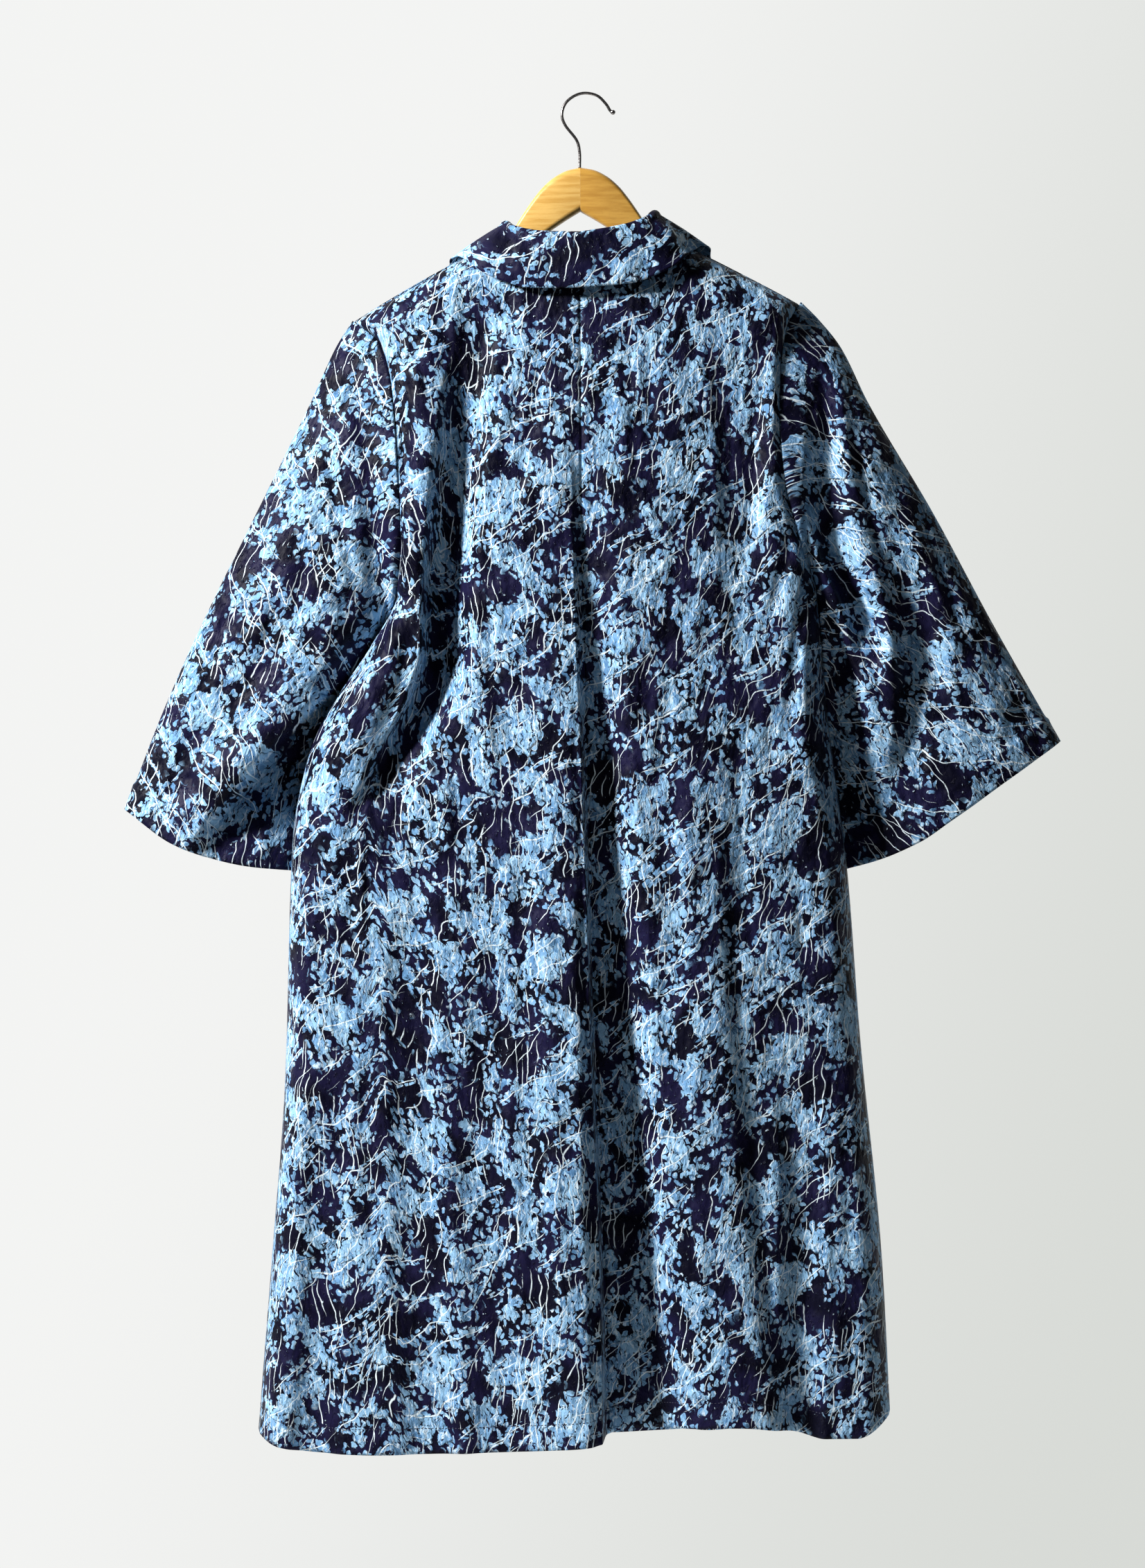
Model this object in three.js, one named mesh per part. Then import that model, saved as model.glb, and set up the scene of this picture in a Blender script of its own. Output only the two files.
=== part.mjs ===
// A long coat with bell sleeves and a turned-down collar, hanging on a contoured wooden hanger.
//
// Frame: millimetres, +Z up. The origin is the inside top of the hanger's hook, where a rod or peg carries it.
// The coat's back faces -Y and its buttoned front faces +Y, so +X is the wearer's right.
//
// Each cloth piece is a wall that follows one sheet of the garment. The sheets are worked out from the outline
// of the hanging coat, the depth of the body between its two sides, and a table of folds, then sewn edge to edge.
import * as THREE from "three";
import { mergeVertices } from "three/addons/utils/BufferGeometryUtils.js";

// ---------------------------------------------------------------- driving sizes

const cloth = 1.6; // wall of the cloth
const seam = 0.4; // gap between two sewn edges
const middle = -5; // x of the hanger's centre and of the coat's centre line at the neck
const lean = 0.03; // rise of the shoulders towards +X for each millimetre across

const neckHalf = 80; // centre to the side of the neck
const neckZ = { side: -131, back: -157, front: -240 };
const shoulderSlope = 0.53;
const underarm = -456;
const sweep = 0.09; // how far the hanger's arms reach towards +Y for each millimetre out
const crown = { shoulder: 32, side: 26 }; // how far in from an edge the body reaches its full depth
const neckRound = 0.92; // share of the depth that the neck's edge keeps at the centre

const sleeveRest = 4; // from the body's front panel to the sleeve that lies on it
const underarmPush = 8; // how far the body holds the sleeve's underside out, just below the underarm

const rows = { armhole: 11, skirt: 13, sleeve: 14 };

// ---------------------------------------------------------------- outline of the hanging coat

// Armhole from the shoulder point to the underarm, then the side seam down to the hem.
const leftEdge = [
  { z: -204, x: -212 },
  { z: -228, x: -186 },
  { z: -268, x: -176 },
  { z: -335, x: -171 },
  { z: -400, x: -168 },
  { z: -456, x: -173 },
  { z: -500, x: -196 },
  { z: -545, x: -226 },
  { z: -598, x: -253 },
  { z: -680, x: -268 },
  { z: -900, x: -275 },
  { z: -1060, x: -287 },
  { z: -1225, x: -300 },
];
const rightEdge = [
  { z: -187, x: 196 },
  { z: -212, x: 183 },
  { z: -250, x: 177 },
  { z: -300, x: 176 },
  { z: -354, x: 181 },
  { z: -417, x: 199 },
  { z: -456, x: 212 },
  { z: -563, x: 221 },
  { z: -704, x: 239 },
  { z: -858, x: 251 },
  { z: -1060, x: 271 },
  { z: -1210, x: 279 },
];

// The centre back seam, and the crest of the deep fold that falls beside it.
const centreBack = [
  { z: -157, x: -5 },
  { z: -420, x: -3 },
  { z: -720, x: 5 },
  { z: -850, x: 9 },
  { z: -980, x: 14 },
  { z: -1110, x: 19 },
  { z: -1235, x: 21 },
];
const foldCrest = centreBack.map(({ z, x }) => ({ z, x: x - 9 }));
const centreFront = [
  { z: -240, x: -5 },
  { z: -1230, x: -2 },
];
const buttonStand = 18; // how far each front reaches past the centre front

// Lines of cloth that start at the side of the neck and fall to the hem.
const leftBackLine = [
  { z: -133, x: -85 },
  { z: -228, x: -104 },
  { z: -354, x: -123 },
  { z: -450, x: -139 },
  { z: -501, x: -140 },
  { z: -537, x: -151 },
  { z: -598, x: -180 },
  { z: -660, x: -190 },
  { z: -800, x: -178 },
  { z: -1235, x: -165 },
];
const rightBackLine = [
  { z: -129, x: 75 },
  { z: -330, x: 96 },
  { z: -560, x: 108 },
  { z: -1235, x: 130 },
];
const leftFrontLine = [
  { z: -133, x: -85 },
  { z: -400, x: -112 },
  { z: -700, x: -150 },
  { z: -1235, x: -165 },
];
const rightFrontLine = [
  { z: -129, x: 75 },
  { z: -400, x: 108 },
  { z: -700, x: 130 },
  { z: -1235, x: 150 },
];

const backHem = [
  { x: -300, z: -1216 },
  { x: -278, z: -1226 },
  { x: -240, z: -1231 },
  { x: -190, z: -1232 },
  { x: -91, z: -1229 },
  { x: -30, z: -1225 },
  { x: 12, z: -1221 },
  { x: 30, z: -1215 },
  { x: 79, z: -1209 },
  { x: 140, z: -1206 },
  { x: 186, z: -1211 },
  { x: 215, z: -1218 },
  { x: 245, z: -1218 },
  { x: 279, z: -1199 },
];
const frontHem = [
  { x: -300, z: -1216 },
  { x: -200, z: -1228 },
  { x: 0, z: -1224 },
  { x: 200, z: -1212 },
  { x: 279, z: -1199 },
];

// Half of the body's depth, from its middle surface to the back and to the front.
const depth = [
  { z: -130, back: 26, front: 24 },
  { z: -300, back: 36, front: 33 },
  { z: -456, back: 41, front: 38 },
  { z: -700, back: 45, front: 41 },
  { z: -1000, back: 48, front: 43 },
  { z: -1240, back: 50, front: 45 },
];

// ---------------------------------------------------------------- folds

// Each fold is a line down the cloth. At each height it has its place, its depth into the garment (a ridge is
// negative), and how far its soft sides reach to the left and to the right of the line.
const backFolds = {
  neckToUnderarm: [
    { z: -150, x: -90, depth: 0, left: 20, right: 20 },
    { z: -228, x: -103, depth: 7, left: 22, right: 26 },
    { z: -354, x: -122, depth: 18, left: 20, right: 34 },
    { z: -410, x: -132, depth: 27, left: 16, right: 36 },
    { z: -460, x: -139, depth: 34, left: 14, right: 38 },
    { z: -505, x: -139, depth: 35, left: 14, right: 38 },
    { z: -540, x: -151, depth: 29, left: 14, right: 38 },
    { z: -598, x: -180, depth: 15, left: 16, right: 42 },
    { z: -665, x: -205, depth: 0, left: 24, right: 44 },
  ],
  beside_armhole: [
    { z: -210, x: -150, depth: 0, left: 24, right: 26 },
    { z: -290, x: -146, depth: -9, left: 22, right: 24 },
    { z: -400, x: -154, depth: -8, left: 14, right: 18 },
    { z: -470, x: -165, depth: 0, left: 12, right: 14 },
  ],
  side_band: [
    { z: -462, x: -172, depth: 0, left: 16, right: 12 },
    { z: -520, x: -180, depth: -6, left: 26, right: 18 },
    { z: -600, x: -215, depth: -7, left: 30, right: 30 },
    { z: -700, x: -225, depth: 0, left: 30, right: 40 },
  ],
  centre: [
    { z: -300, x: -3, depth: 0, left: 14, right: 24 },
    { z: -480, x: -1, depth: 8, left: 12, right: 28 },
    { z: -620, x: 2, depth: 17, left: 9, right: 34 },
    { z: -760, x: 6, depth: 26, left: 9, right: 42 },
    { z: -900, x: 10, depth: 33, left: 9, right: 52 },
    { z: -1060, x: 17, depth: 39, left: 9, right: 64 },
    { z: -1240, x: 21, depth: 44, left: 9, right: 78 },
  ],
  centre_crest: [
    { z: -480, x: -24, depth: 0, left: 30, right: 16 },
    { z: -800, x: -16, depth: -6, left: 44, right: 14 },
    { z: -1240, x: -2, depth: -9, left: 60, right: 14 },
  ],
  right_blade: [
    { z: -200, x: 126, depth: 0, left: 26, right: 30 },
    { z: -330, x: 138, depth: 7, left: 26, right: 30 },
    { z: -450, x: 142, depth: 5, left: 26, right: 26 },
    { z: -560, x: 150, depth: 0, left: 26, right: 26 },
  ],
  right_ridge: [
    { z: -540, x: 104, depth: 0, left: 40, right: 26 },
    { z: -760, x: 112, depth: -7, left: 44, right: 24 },
    { z: -980, x: 128, depth: -9, left: 52, right: 26 },
    { z: -1240, x: 160, depth: -10, left: 60, right: 30 },
  ],
  right_side: [
    { z: -760, x: 168, depth: 0, left: 24, right: 26 },
    { z: -1000, x: 196, depth: 6, left: 26, right: 24 },
    { z: -1240, x: 196, depth: 12, left: 28, right: 22 },
  ],
  left_skirt: [
    { z: -640, x: -150, depth: 0, left: 26, right: 30 },
    { z: -820, x: -158, depth: 6, left: 26, right: 30 },
    { z: -1000, x: -152, depth: 5, left: 28, right: 32 },
    { z: -1240, x: -140, depth: 7, left: 34, right: 36 },
  ],
  left_skirt_inner: [
    { z: -700, x: -84, depth: 0, left: 26, right: 26 },
    { z: -960, x: -92, depth: 5, left: 26, right: 28 },
    { z: -1240, x: -78, depth: 4, left: 30, right: 30 },
  ],
  left_skirt_outer: [
    { z: -820, x: -228, depth: 0, left: 22, right: 24 },
    { z: -1040, x: -236, depth: 5, left: 24, right: 26 },
    { z: -1240, x: -250, depth: 9, left: 22, right: 30 },
  ],
};
const frontFolds = {
  left_chest: [
    { z: -200, x: -118, depth: 0, left: 24, right: 24 },
    { z: -340, x: -128, depth: 12, left: 20, right: 30 },
    { z: -460, x: -136, depth: 22, left: 16, right: 34 },
    { z: -560, x: -160, depth: 12, left: 22, right: 36 },
    { z: -680, x: -190, depth: 0, left: 26, right: 36 },
  ],
  right_chest: [
    { z: -200, x: 116, depth: 0, left: 24, right: 24 },
    { z: -340, x: 128, depth: 11, left: 28, right: 22 },
    { z: -460, x: 146, depth: 18, left: 32, right: 20 },
    { z: -580, x: 168, depth: 9, left: 34, right: 24 },
    { z: -700, x: 190, depth: 0, left: 34, right: 26 },
  ],
  left_skirt: [
    { z: -560, x: -92, depth: 0, left: 30, right: 26 },
    { z: -860, x: -112, depth: 12, left: 38, right: 26 },
    { z: -1240, x: -132, depth: 24, left: 52, right: 30 },
  ],
  left_side: [
    { z: -760, x: -214, depth: 0, left: 26, right: 26 },
    { z: -1240, x: -236, depth: 11, left: 28, right: 30 },
  ],
  right_skirt: [
    { z: -540, x: 84, depth: 0, left: 26, right: 30 },
    { z: -880, x: 104, depth: 13, left: 28, right: 40 },
    { z: -1240, x: 122, depth: 25, left: 30, right: 54 },
  ],
  right_side: [
    { z: -780, x: 198, depth: 0, left: 26, right: 26 },
    { z: -1240, x: 222, depth: 10, left: 28, right: 26 },
  ],
};

// ---------------------------------------------------------------- sleeves

const leftSleeve = {
  side: -1,
  over: [
    { z: -204, x: -212 },
    { z: -228, x: -227 },
    { z: -278, x: -250 },
    { z: -379, x: -300 },
    { z: -480, x: -350 },
    { z: -560, x: -386 },
    { z: -650, x: -421 },
  ],
  under: [
    { z: -456, x: -173 },
    { z: -475, x: -187 },
    { z: -500, x: -197 },
    { z: -545, x: -222 },
    { z: -598, x: -249 },
    { z: -650, x: -261 },
    { z: -708, x: -266 },
  ],
  cuff: [
    { x: -421, z: -650 },
    { x: -378, z: -680 },
    { x: -343, z: -694 },
    { x: -307, z: -702 },
    { x: -266, z: -706 },
  ],
  inner: 44, // y of the underarm seam once it lies in front of the body's side
  folds: {
    beside_armhole: [
      { z: -225, x: -196, depth: 0, left: 26, right: 12 },
      { z: -300, x: -184, depth: 7, left: 30, right: 14 },
      { z: -400, x: -178, depth: 9, left: 28, right: 14 },
      { z: -460, x: -180, depth: 0, left: 26, right: 14 },
    ],
    under_fold: [
      { z: -462, x: -174, depth: 3, left: 18, right: 60 },
      { z: -511, x: -186, depth: 16, left: 22, right: 80 },
      { z: -569, x: -236, depth: 28, left: 24, right: 90 },
      { z: -610, x: -274, depth: 32, left: 25, right: 100 },
      { z: -640, x: -300, depth: 26, left: 27, right: 110 },
      { z: -670, x: -322, depth: 14, left: 30, right: 110 },
      { z: -710, x: -342, depth: 4, left: 34, right: 90 },
    ],
    fold_crest: [
      { z: -470, x: -205, depth: 0, left: 34, right: 16 },
      { z: -560, x: -262, depth: -7, left: 44, right: 18 },
      { z: -640, x: -336, depth: -6, left: 44, right: 22 },
      { z: -700, x: -370, depth: 0, left: 40, right: 30 },
    ],
    drag: [
      { z: -380, x: -230, depth: 0, left: 24, right: 26 },
      { z: -470, x: -270, depth: 5, left: 26, right: 28 },
      { z: -580, x: -345, depth: 4, left: 28, right: 28 },
      { z: -650, x: -380, depth: 0, left: 26, right: 26 },
    ],
  },
  underFolds: {
    pinch: [
      { z: -300, x: -226, depth: 0, left: 26, right: 26 },
      { z: -440, x: -268, depth: 10, left: 28, right: 28 },
      { z: -600, x: -330, depth: 8, left: 30, right: 34 },
      { z: -700, x: -350, depth: 2, left: 30, right: 36 },
    ],
  },
};
const rightSleeve = {
  side: 1,
  over: [
    { z: -187, x: 196 },
    { z: -203, x: 212 },
    { z: -228, x: 232 },
    { z: -278, x: 257 },
    { z: -379, x: 317 },
    { z: -480, x: 372 },
    { z: -588, x: 434 },
  ],
  under: [
    { z: -456, x: 212 },
    { z: -475, x: 220 },
    { z: -500, x: 222 },
    { z: -540, x: 223 },
    { z: -600, x: 225 },
    { z: -708, x: 234 },
  ],
  cuff: [
    { x: 434, z: -588 },
    { x: 376, z: -629 },
    { x: 341, z: -654 },
    { x: 305, z: -679 },
    { x: 265, z: -697 },
    { x: 234, z: -706 },
  ],
  inner: 46,
  folds: {
    cap: [
      { z: -205, x: 202, depth: 0, left: 14, right: 18 },
      { z: -300, x: 210, depth: 9, left: 16, right: 24 },
      { z: -360, x: 209, depth: 15, left: 13, right: 26 },
      { z: -420, x: 222, depth: 23, left: 12, right: 28 },
      { z: -465, x: 243, depth: 24, left: 14, right: 28 },
      { z: -500, x: 254, depth: 10, left: 16, right: 26 },
      { z: -530, x: 258, depth: 0, left: 18, right: 24 },
    ],
    elbow: [
      { z: -385, x: 262, depth: 0, left: 18, right: 24 },
      { z: -440, x: 282, depth: 9, left: 18, right: 30 },
      { z: -500, x: 295, depth: 15, left: 16, right: 34 },
      { z: -570, x: 294, depth: 11, left: 20, right: 36 },
      { z: -640, x: 290, depth: 3, left: 24, right: 36 },
      { z: -690, x: 288, depth: 0, left: 24, right: 36 },
    ],
    beside_body: [
      { z: -470, x: 222, depth: 6, left: 14, right: 16 },
      { z: -540, x: 230, depth: 20, left: 16, right: 22 },
      { z: -640, x: 240, depth: 22, left: 18, right: 30 },
      { z: -710, x: 246, depth: 14, left: 22, right: 36 },
    ],
  },
  underFolds: {
    pinch: [
      { z: -290, x: 232, depth: 0, left: 26, right: 26 },
      { z: -440, x: 282, depth: 10, left: 28, right: 28 },
      { z: -580, x: 320, depth: 9, left: 32, right: 34 },
      { z: -690, x: 330, depth: 3, left: 32, right: 32 },
    ],
  },
};
// Half of a sleeve's depth, from the armhole (0) to the cuff (1).
const sleeveDepth = [
  { s: 0, half: 36 },
  { s: 0.35, half: 38 },
  { s: 0.7, half: 34 },
  { s: 1, half: 30 },
];

// ---------------------------------------------------------------- collar

// From the centre back (0) to the centre front (1): the neck seam, the roll where the collar turns over, and the
// outer edge of its fall. Each x is from the coat's centre line, and off is how far the edge stands off the coat.
const collar = [
  { p: 0, seamX: 0, rollX: 0, rollY: -31, rollZ: -122, edgeX: 0, edgeZ: -174, off: 9 },
  { p: 0.2, seamX: 36, rollX: 36, rollY: -27, rollZ: -119, edgeX: 44, edgeZ: -172, off: 9 },
  { p: 0.36, seamX: 62, rollX: 61, rollY: -17, rollZ: -111, edgeX: 84, edgeZ: -160, off: 9 },
  { p: 0.45, seamX: 75, rollX: 68, rollY: -5, rollZ: -107, edgeX: 111, edgeZ: -139, off: 7 },
  { p: 0.53, seamX: 79, rollX: 70, rollY: 11, rollZ: -112, edgeX: 118, edgeZ: -142, off: 7 },
  { p: 0.64, seamX: 70, rollX: 66, rollY: 24, rollZ: -130, edgeX: 119, edgeZ: -176, off: 7 },
  { p: 0.8, seamX: 46, rollX: 49, rollY: 35, rollZ: -172, edgeX: 106, edgeZ: -226, off: 6 },
  { p: 1, seamX: 6, rollX: 6, rollY: 39, rollZ: -231, edgeX: 66, edgeZ: -296, off: 6 },
];
const collarSteps = 15; // on each side of the centre back
const rollRadius = 3.6;
const neckGap = 1.7; // from the neck seam up to the collar's lower edge
const fallRest = 5; // least distance from the body's surface to the fall's outer face

// ---------------------------------------------------------------- hanger and buttons

const wire = 3.4;
// The wire from its foot in the wood, over the bend at the origin, to its short turned tip.
const hookLine = [
  { x: -5.5, z: -65.4 },
  { x: -5.6, z: -52 },
  { x: -8.4, z: -41 },
  { x: -18.6, z: -27.5 },
  { x: -21.6, z: -17.5 },
  { x: -18.2, z: -7.4 },
  { x: -9.8, z: -0.6 },
  { x: 0, z: 1.7 },
  { x: 10.8, z: -0.9 },
  { x: 18.4, z: -8.2 },
  { x: 22.6, z: -14.6 },
  { x: 27, z: -16.2 },
];

// The hanger's arms: upper and lower outline by distance out from the centre, and the wood's width there.
const armTop = [
  { out: 0, z: -65.8 },
  { out: 12, z: -68.2 },
  { out: 24, z: -74.2 },
  { out: 35, z: -83.6 },
  { out: 43, z: -93.4 },
  { out: 50.5, z: -104 },
  { out: 57, z: -114 },
  { out: 64, z: -126.5 },
  { out: 74, z: -139 },
  { out: 84, z: -145 },
  { out: 100, z: -150.4 },
  { out: 140, z: -167.4 },
  { out: 180, z: -188.6 },
  { out: 194, z: -198 },
];
const armUnder = [
  { out: 0, z: -106 },
  { out: 24, z: -120.6 },
  { out: 60, z: -144 },
  { out: 90, z: -163 },
  { out: 140, z: -190 },
  { out: 180, z: -210 },
  { out: 194, z: -214 },
];
const armWide = [
  { out: 0, wide: 15 },
  { out: 60, wide: 11 },
  { out: 90, wide: 9.4 },
  { out: 150, wide: 10 },
  { out: 186, wide: 9 },
  { out: 194, wide: 6 },
];
const armSteps = 16;
const armSides = 12;
const halvesGap = 0.3;

// ---------------------------------------------------------------- small mathematics

const mix = (a, b, t) => a + (b - a) * t;
const clamp01 = (t) => Math.min(1, Math.max(0, t));
const smooth = (t) => clamp01(t) ** 2 * (3 - 2 * clamp01(t));
const bulge = (t) => Math.sqrt(1 - (1 - clamp01(t)) ** 2); // quarter circle from 0 to 1
const cosine = (t) => (1 - Math.cos(Math.PI * t)) / 2;

// One column of a table as a smooth function of another, with no overshoot between the rows.
function track(table, by, of) {
  const at = table.map((row) => row[by]);
  const value = table.map((row) => row[of]);
  const last = table.length - 1;
  const rise = value.slice(1).map((v, k) => (v - value[k]) / (at[k + 1] - at[k]));
  const slope = value.map((_, k) => {
    const before = rise[Math.max(0, k - 1)];
    const after = rise[Math.min(last - 1, k)];
    return before * after <= 0 ? 0 : (2 * before * after) / (before + after);
  });
  const towards = Math.sign(at[last] - at[0]);
  return (where) => {
    const w = towards * where;
    if (w <= towards * at[0]) return value[0];
    if (w >= towards * at[last]) return value[last];
    let k = 0;
    while (w > towards * at[k + 1]) k += 1;
    const wide = at[k + 1] - at[k];
    const t = (where - at[k]) / wide;
    return (
      value[k] * (1 + 2 * t) * (1 - t) ** 2 +
      slope[k] * wide * t * (1 - t) ** 2 +
      value[k + 1] * t * t * (3 - 2 * t) +
      slope[k + 1] * wide * t * t * (t - 1)
    );
  };
}

// The depth of all the folds at a place on the cloth.
function foldSet(folds) {
  const lines = Object.values(folds).map((table) => ({
    top: table[0].z,
    foot: table.at(-1).z,
    x: track(table, "z", "x"),
    depth: track(table, "z", "depth"),
    left: track(table, "z", "left"),
    right: track(table, "z", "right"),
  }));
  return (x, z) =>
    lines.reduce((sum, line) => {
      if (z > line.top || z < line.foot) return sum;
      const away = x - line.x(z);
      const share = Math.abs(away) / (away < 0 ? line.left(z) : line.right(z));
      return share < 1 ? sum + (line.depth(z) * (1 + Math.cos(Math.PI * share))) / 2 : sum;
    }, 0);
}

// ---------------------------------------------------------------- the body's surface

const edgeX = { left: track(leftEdge, "z", "x"), right: track(rightEdge, "z", "x") };
const depthOf = { back: track(depth, "z", "back"), front: track(depth, "z", "front") };
const hemOf = { back: track(backHem, "x", "z"), front: track(frontHem, "x", "z") };
const foldOf = { back: foldSet(backFolds), front: foldSet(frontFolds) };
const shoulderZ = { left: leftEdge[0].z, right: rightEdge[0].z };

const middleY = (x) => sweep * Math.hypot(x - middle, 30);

// Height of the panel's top edge: the shoulder seam, or the neckline between the two shoulder seams.
function topZ(face, x) {
  const out = Math.abs(x - middle);
  const tilt = lean * (x - middle);
  if (out >= neckHalf) return neckZ.side - shoulderSlope * (out - neckHalf) + tilt;
  const power = face === "back" ? 2.4 : 1.7;
  return mix(neckZ[face], neckZ.side, (out / neckHalf) ** power) + tilt;
}

function bodyY(face, x, z) {
  const half = x < middle ? "left" : "right";
  const towards = face === "back" ? -1 : 1;
  const out = Math.min(1, Math.abs(x - middle) / neckHalf);
  const neck = neckRound * Math.sqrt(1 - out * out);
  const fromTop = mix(bulge((topZ(face, x) - z) / crown.shoulder), 1, neck);
  const inFromSide = Math.abs(x - edgeX[half](z));
  const armhole = (shoulderZ[half] - z) / (shoulderZ[half] - underarm);
  const open = armhole > 0 && armhole < 1 ? Math.sqrt(Math.sin(Math.PI * armhole)) : 0;
  const fromSide = mix(bulge(inFromSide / crown.side), 1, open);
  const fold = foldOf[face](x, z) * smooth(fromTop) * smooth(fromSide);
  return middleY(x) + towards * (depthOf[face](z) * fromTop * fromSide - fold);
}

// ---------------------------------------------------------------- grids of points on the sheets

// Share of the way down a panel: the rows of the armhole crowd towards its two ends.
const armholeShare = (row) => cosine(row / rows.armhole);
function rowZ(row, top, hem) {
  if (row <= rows.armhole) return mix(top, underarm, armholeShare(row));
  return mix(underarm, hem, (row - rows.armhole) / rows.skirt);
}

// A body panel between lines of cloth that run from its top edge to the hem, with so many steps between each two.
function panelGrid(face, lines, steps, lift = () => 0) {
  const tracks = lines.map((line) => track(line, "z", "x"));
  const columns = steps.flatMap((count, k) =>
    Array.from({ length: count }, (_, n) => ({ k, share: n / count })),
  );
  columns.push({ k: steps.length - 1, share: 1 });
  const total = rows.armhole + rows.skirt;
  return Array.from({ length: total + 1 }, (_, row) =>
    columns.map(({ k, share }) => {
      const topX = mix(lines[k][0].x, lines[k + 1][0].x, share);
      const footX = mix(lines[k].at(-1).x, lines[k + 1].at(-1).x, share);
      const z = rowZ(row, topZ(face, topX), hemOf[face](footX));
      const x = row ? mix(tracks[k](z), tracks[k + 1](z), share) : topX;
      return new THREE.Vector3(x, bodyY(face, x, z) + lift(x), z);
    }),
  );
}

// Where a sleeve hangs across the body's side, it lies on the body's front panel.
function clearOfBody(half, face, x, y, z) {
  const inside = half === "left" ? x - edgeX.left(z) : edgeX.right(z) - x;
  if (inside < 0) return y;
  return Math.max(y, bodyY("front", x, z) + (face === "back" ? sleeveRest : sleeveRest + 4 * cloth));
}

// A sleeve as rings from the armhole to the cuff. A ring runs down the back half and up the front half.
function sleeveGrid(sleeve) {
  const half = sleeve.side < 0 ? "left" : "right";
  const over = track(sleeve.over, "z", "x");
  const under = track(sleeve.under, "z", "x");
  const cuff = track(sleeve.cuff, "x", "z");
  const halfDepth = track(sleeveDepth, "s", "half");
  const fold = { back: foldSet(sleeve.folds), front: foldSet(sleeve.underFolds) };
  const n = rows.armhole;
  const ends = [sleeve.over[0], sleeve.under[0], sleeve.over.at(-1), sleeve.under.at(-1)];
  const [top, pit, outer, inner] = ends;
  const point = (s, k, face) => {
    const f = armholeShare(k);
    const armZ = mix(top.z, pit.z, f);
    const arm = { x: k === 0 ? top.x : edgeX[half](armZ), z: armZ };
    const overZ = mix(top.z, outer.z, s);
    const underZ = mix(pit.z, inner.z, s);
    const cuffX = mix(outer.x, inner.x, f);
    const corners = (axis) =>
      (1 - s) * mix(top[axis], pit[axis], f) + s * mix(outer[axis], inner[axis], f);
    const pushed = sleeve.side * underarmPush * f ** 3 * smooth(s / 0.07) * (1 - smooth((s - 0.16) / 0.14));
    const x =
      mix(over(overZ), under(underZ), f) + mix(arm.x, cuffX, s) - corners("x") + pushed;
    const z = mix(overZ, underZ, f) + mix(arm.z, cuff(cuffX), s) - corners("z");
    const towards = face === "back" ? -1 : 1;
    const round = (2 * Math.sqrt(f * (1 - f))) ** 0.75;
    const swung = mix(middleY(x), sleeve.inner, smooth(s / 0.14) * f ** 2);
    const folded = fold[face](x, z) * smooth(round * 1.4);
    const own = swung + towards * (halfDepth(s) * round - folded);
    const y = mix(bodyY(face, arm.x, arm.z), own, smooth(s / 0.2));
    return new THREE.Vector3(x, s > 0.1 ? clearOfBody(half, face, x, y, z) : y, z);
  };
  return Array.from({ length: rows.sleeve + 1 }, (_, row) => {
    const s = row / rows.sleeve;
    const ring = [];
    for (let k = 0; k <= n; k += 1) ring.push(point(s, k, "back"));
    for (let k = n - 1; k > 0; k -= 1) ring.push(point(s, k, "front"));
    return ring;
  });
}

// ---------------------------------------------------------------- sheets to walls

// Sheets share a normal along their seam, but at the foot of the armhole the sleeve turns away from the body.
const key = (p, closed) =>
  [p.x, p.y, p.z].map((v) => v.toFixed(2)).join() + (closed && p.z < underarm + 4 ? " sleeve" : "");

// Normals of sheets that are sewn together.
function sewnNormals(sheets) {
  const sums = new Map();
  for (const { grid, closed, outward } of sheets) {
    const add = (p, n) => {
      const name = key(p, closed);
      sums.set(name, (sums.get(name) ?? new THREE.Vector3()).add(n));
    };
    const columns = grid[0].length;
    for (let i = 0; i < grid.length - 1; i += 1) {
      for (let j = 0; j < columns - (closed ? 0 : 1); j += 1) {
        const [a, b] = [grid[i][j], grid[i][(j + 1) % columns]];
        const [c, d] = [grid[i + 1][(j + 1) % columns], grid[i + 1][j]];
        const n = c.clone().sub(a).cross(d.clone().sub(b)).multiplyScalar(outward);
        [a, b, c, d].forEach((p) => add(p, n));
      }
    }
  }
  return (p, closed) => sums.get(key(p, closed)).clone().normalize();
}

const pull = (p, towards, by) => p.add(towards.clone().sub(p).setLength(by));

// Moves the edges of a sheet back from its seams.
function easeSeams(grid, { top, first, last }) {
  if (top) grid[0].forEach((p, j) => pull(p, grid[1][j], top(p)));
  for (const row of grid) {
    if (first) pull(row[0], row[1], first);
    if (last) pull(row.at(-1), row.at(-2), last);
  }
}

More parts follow.
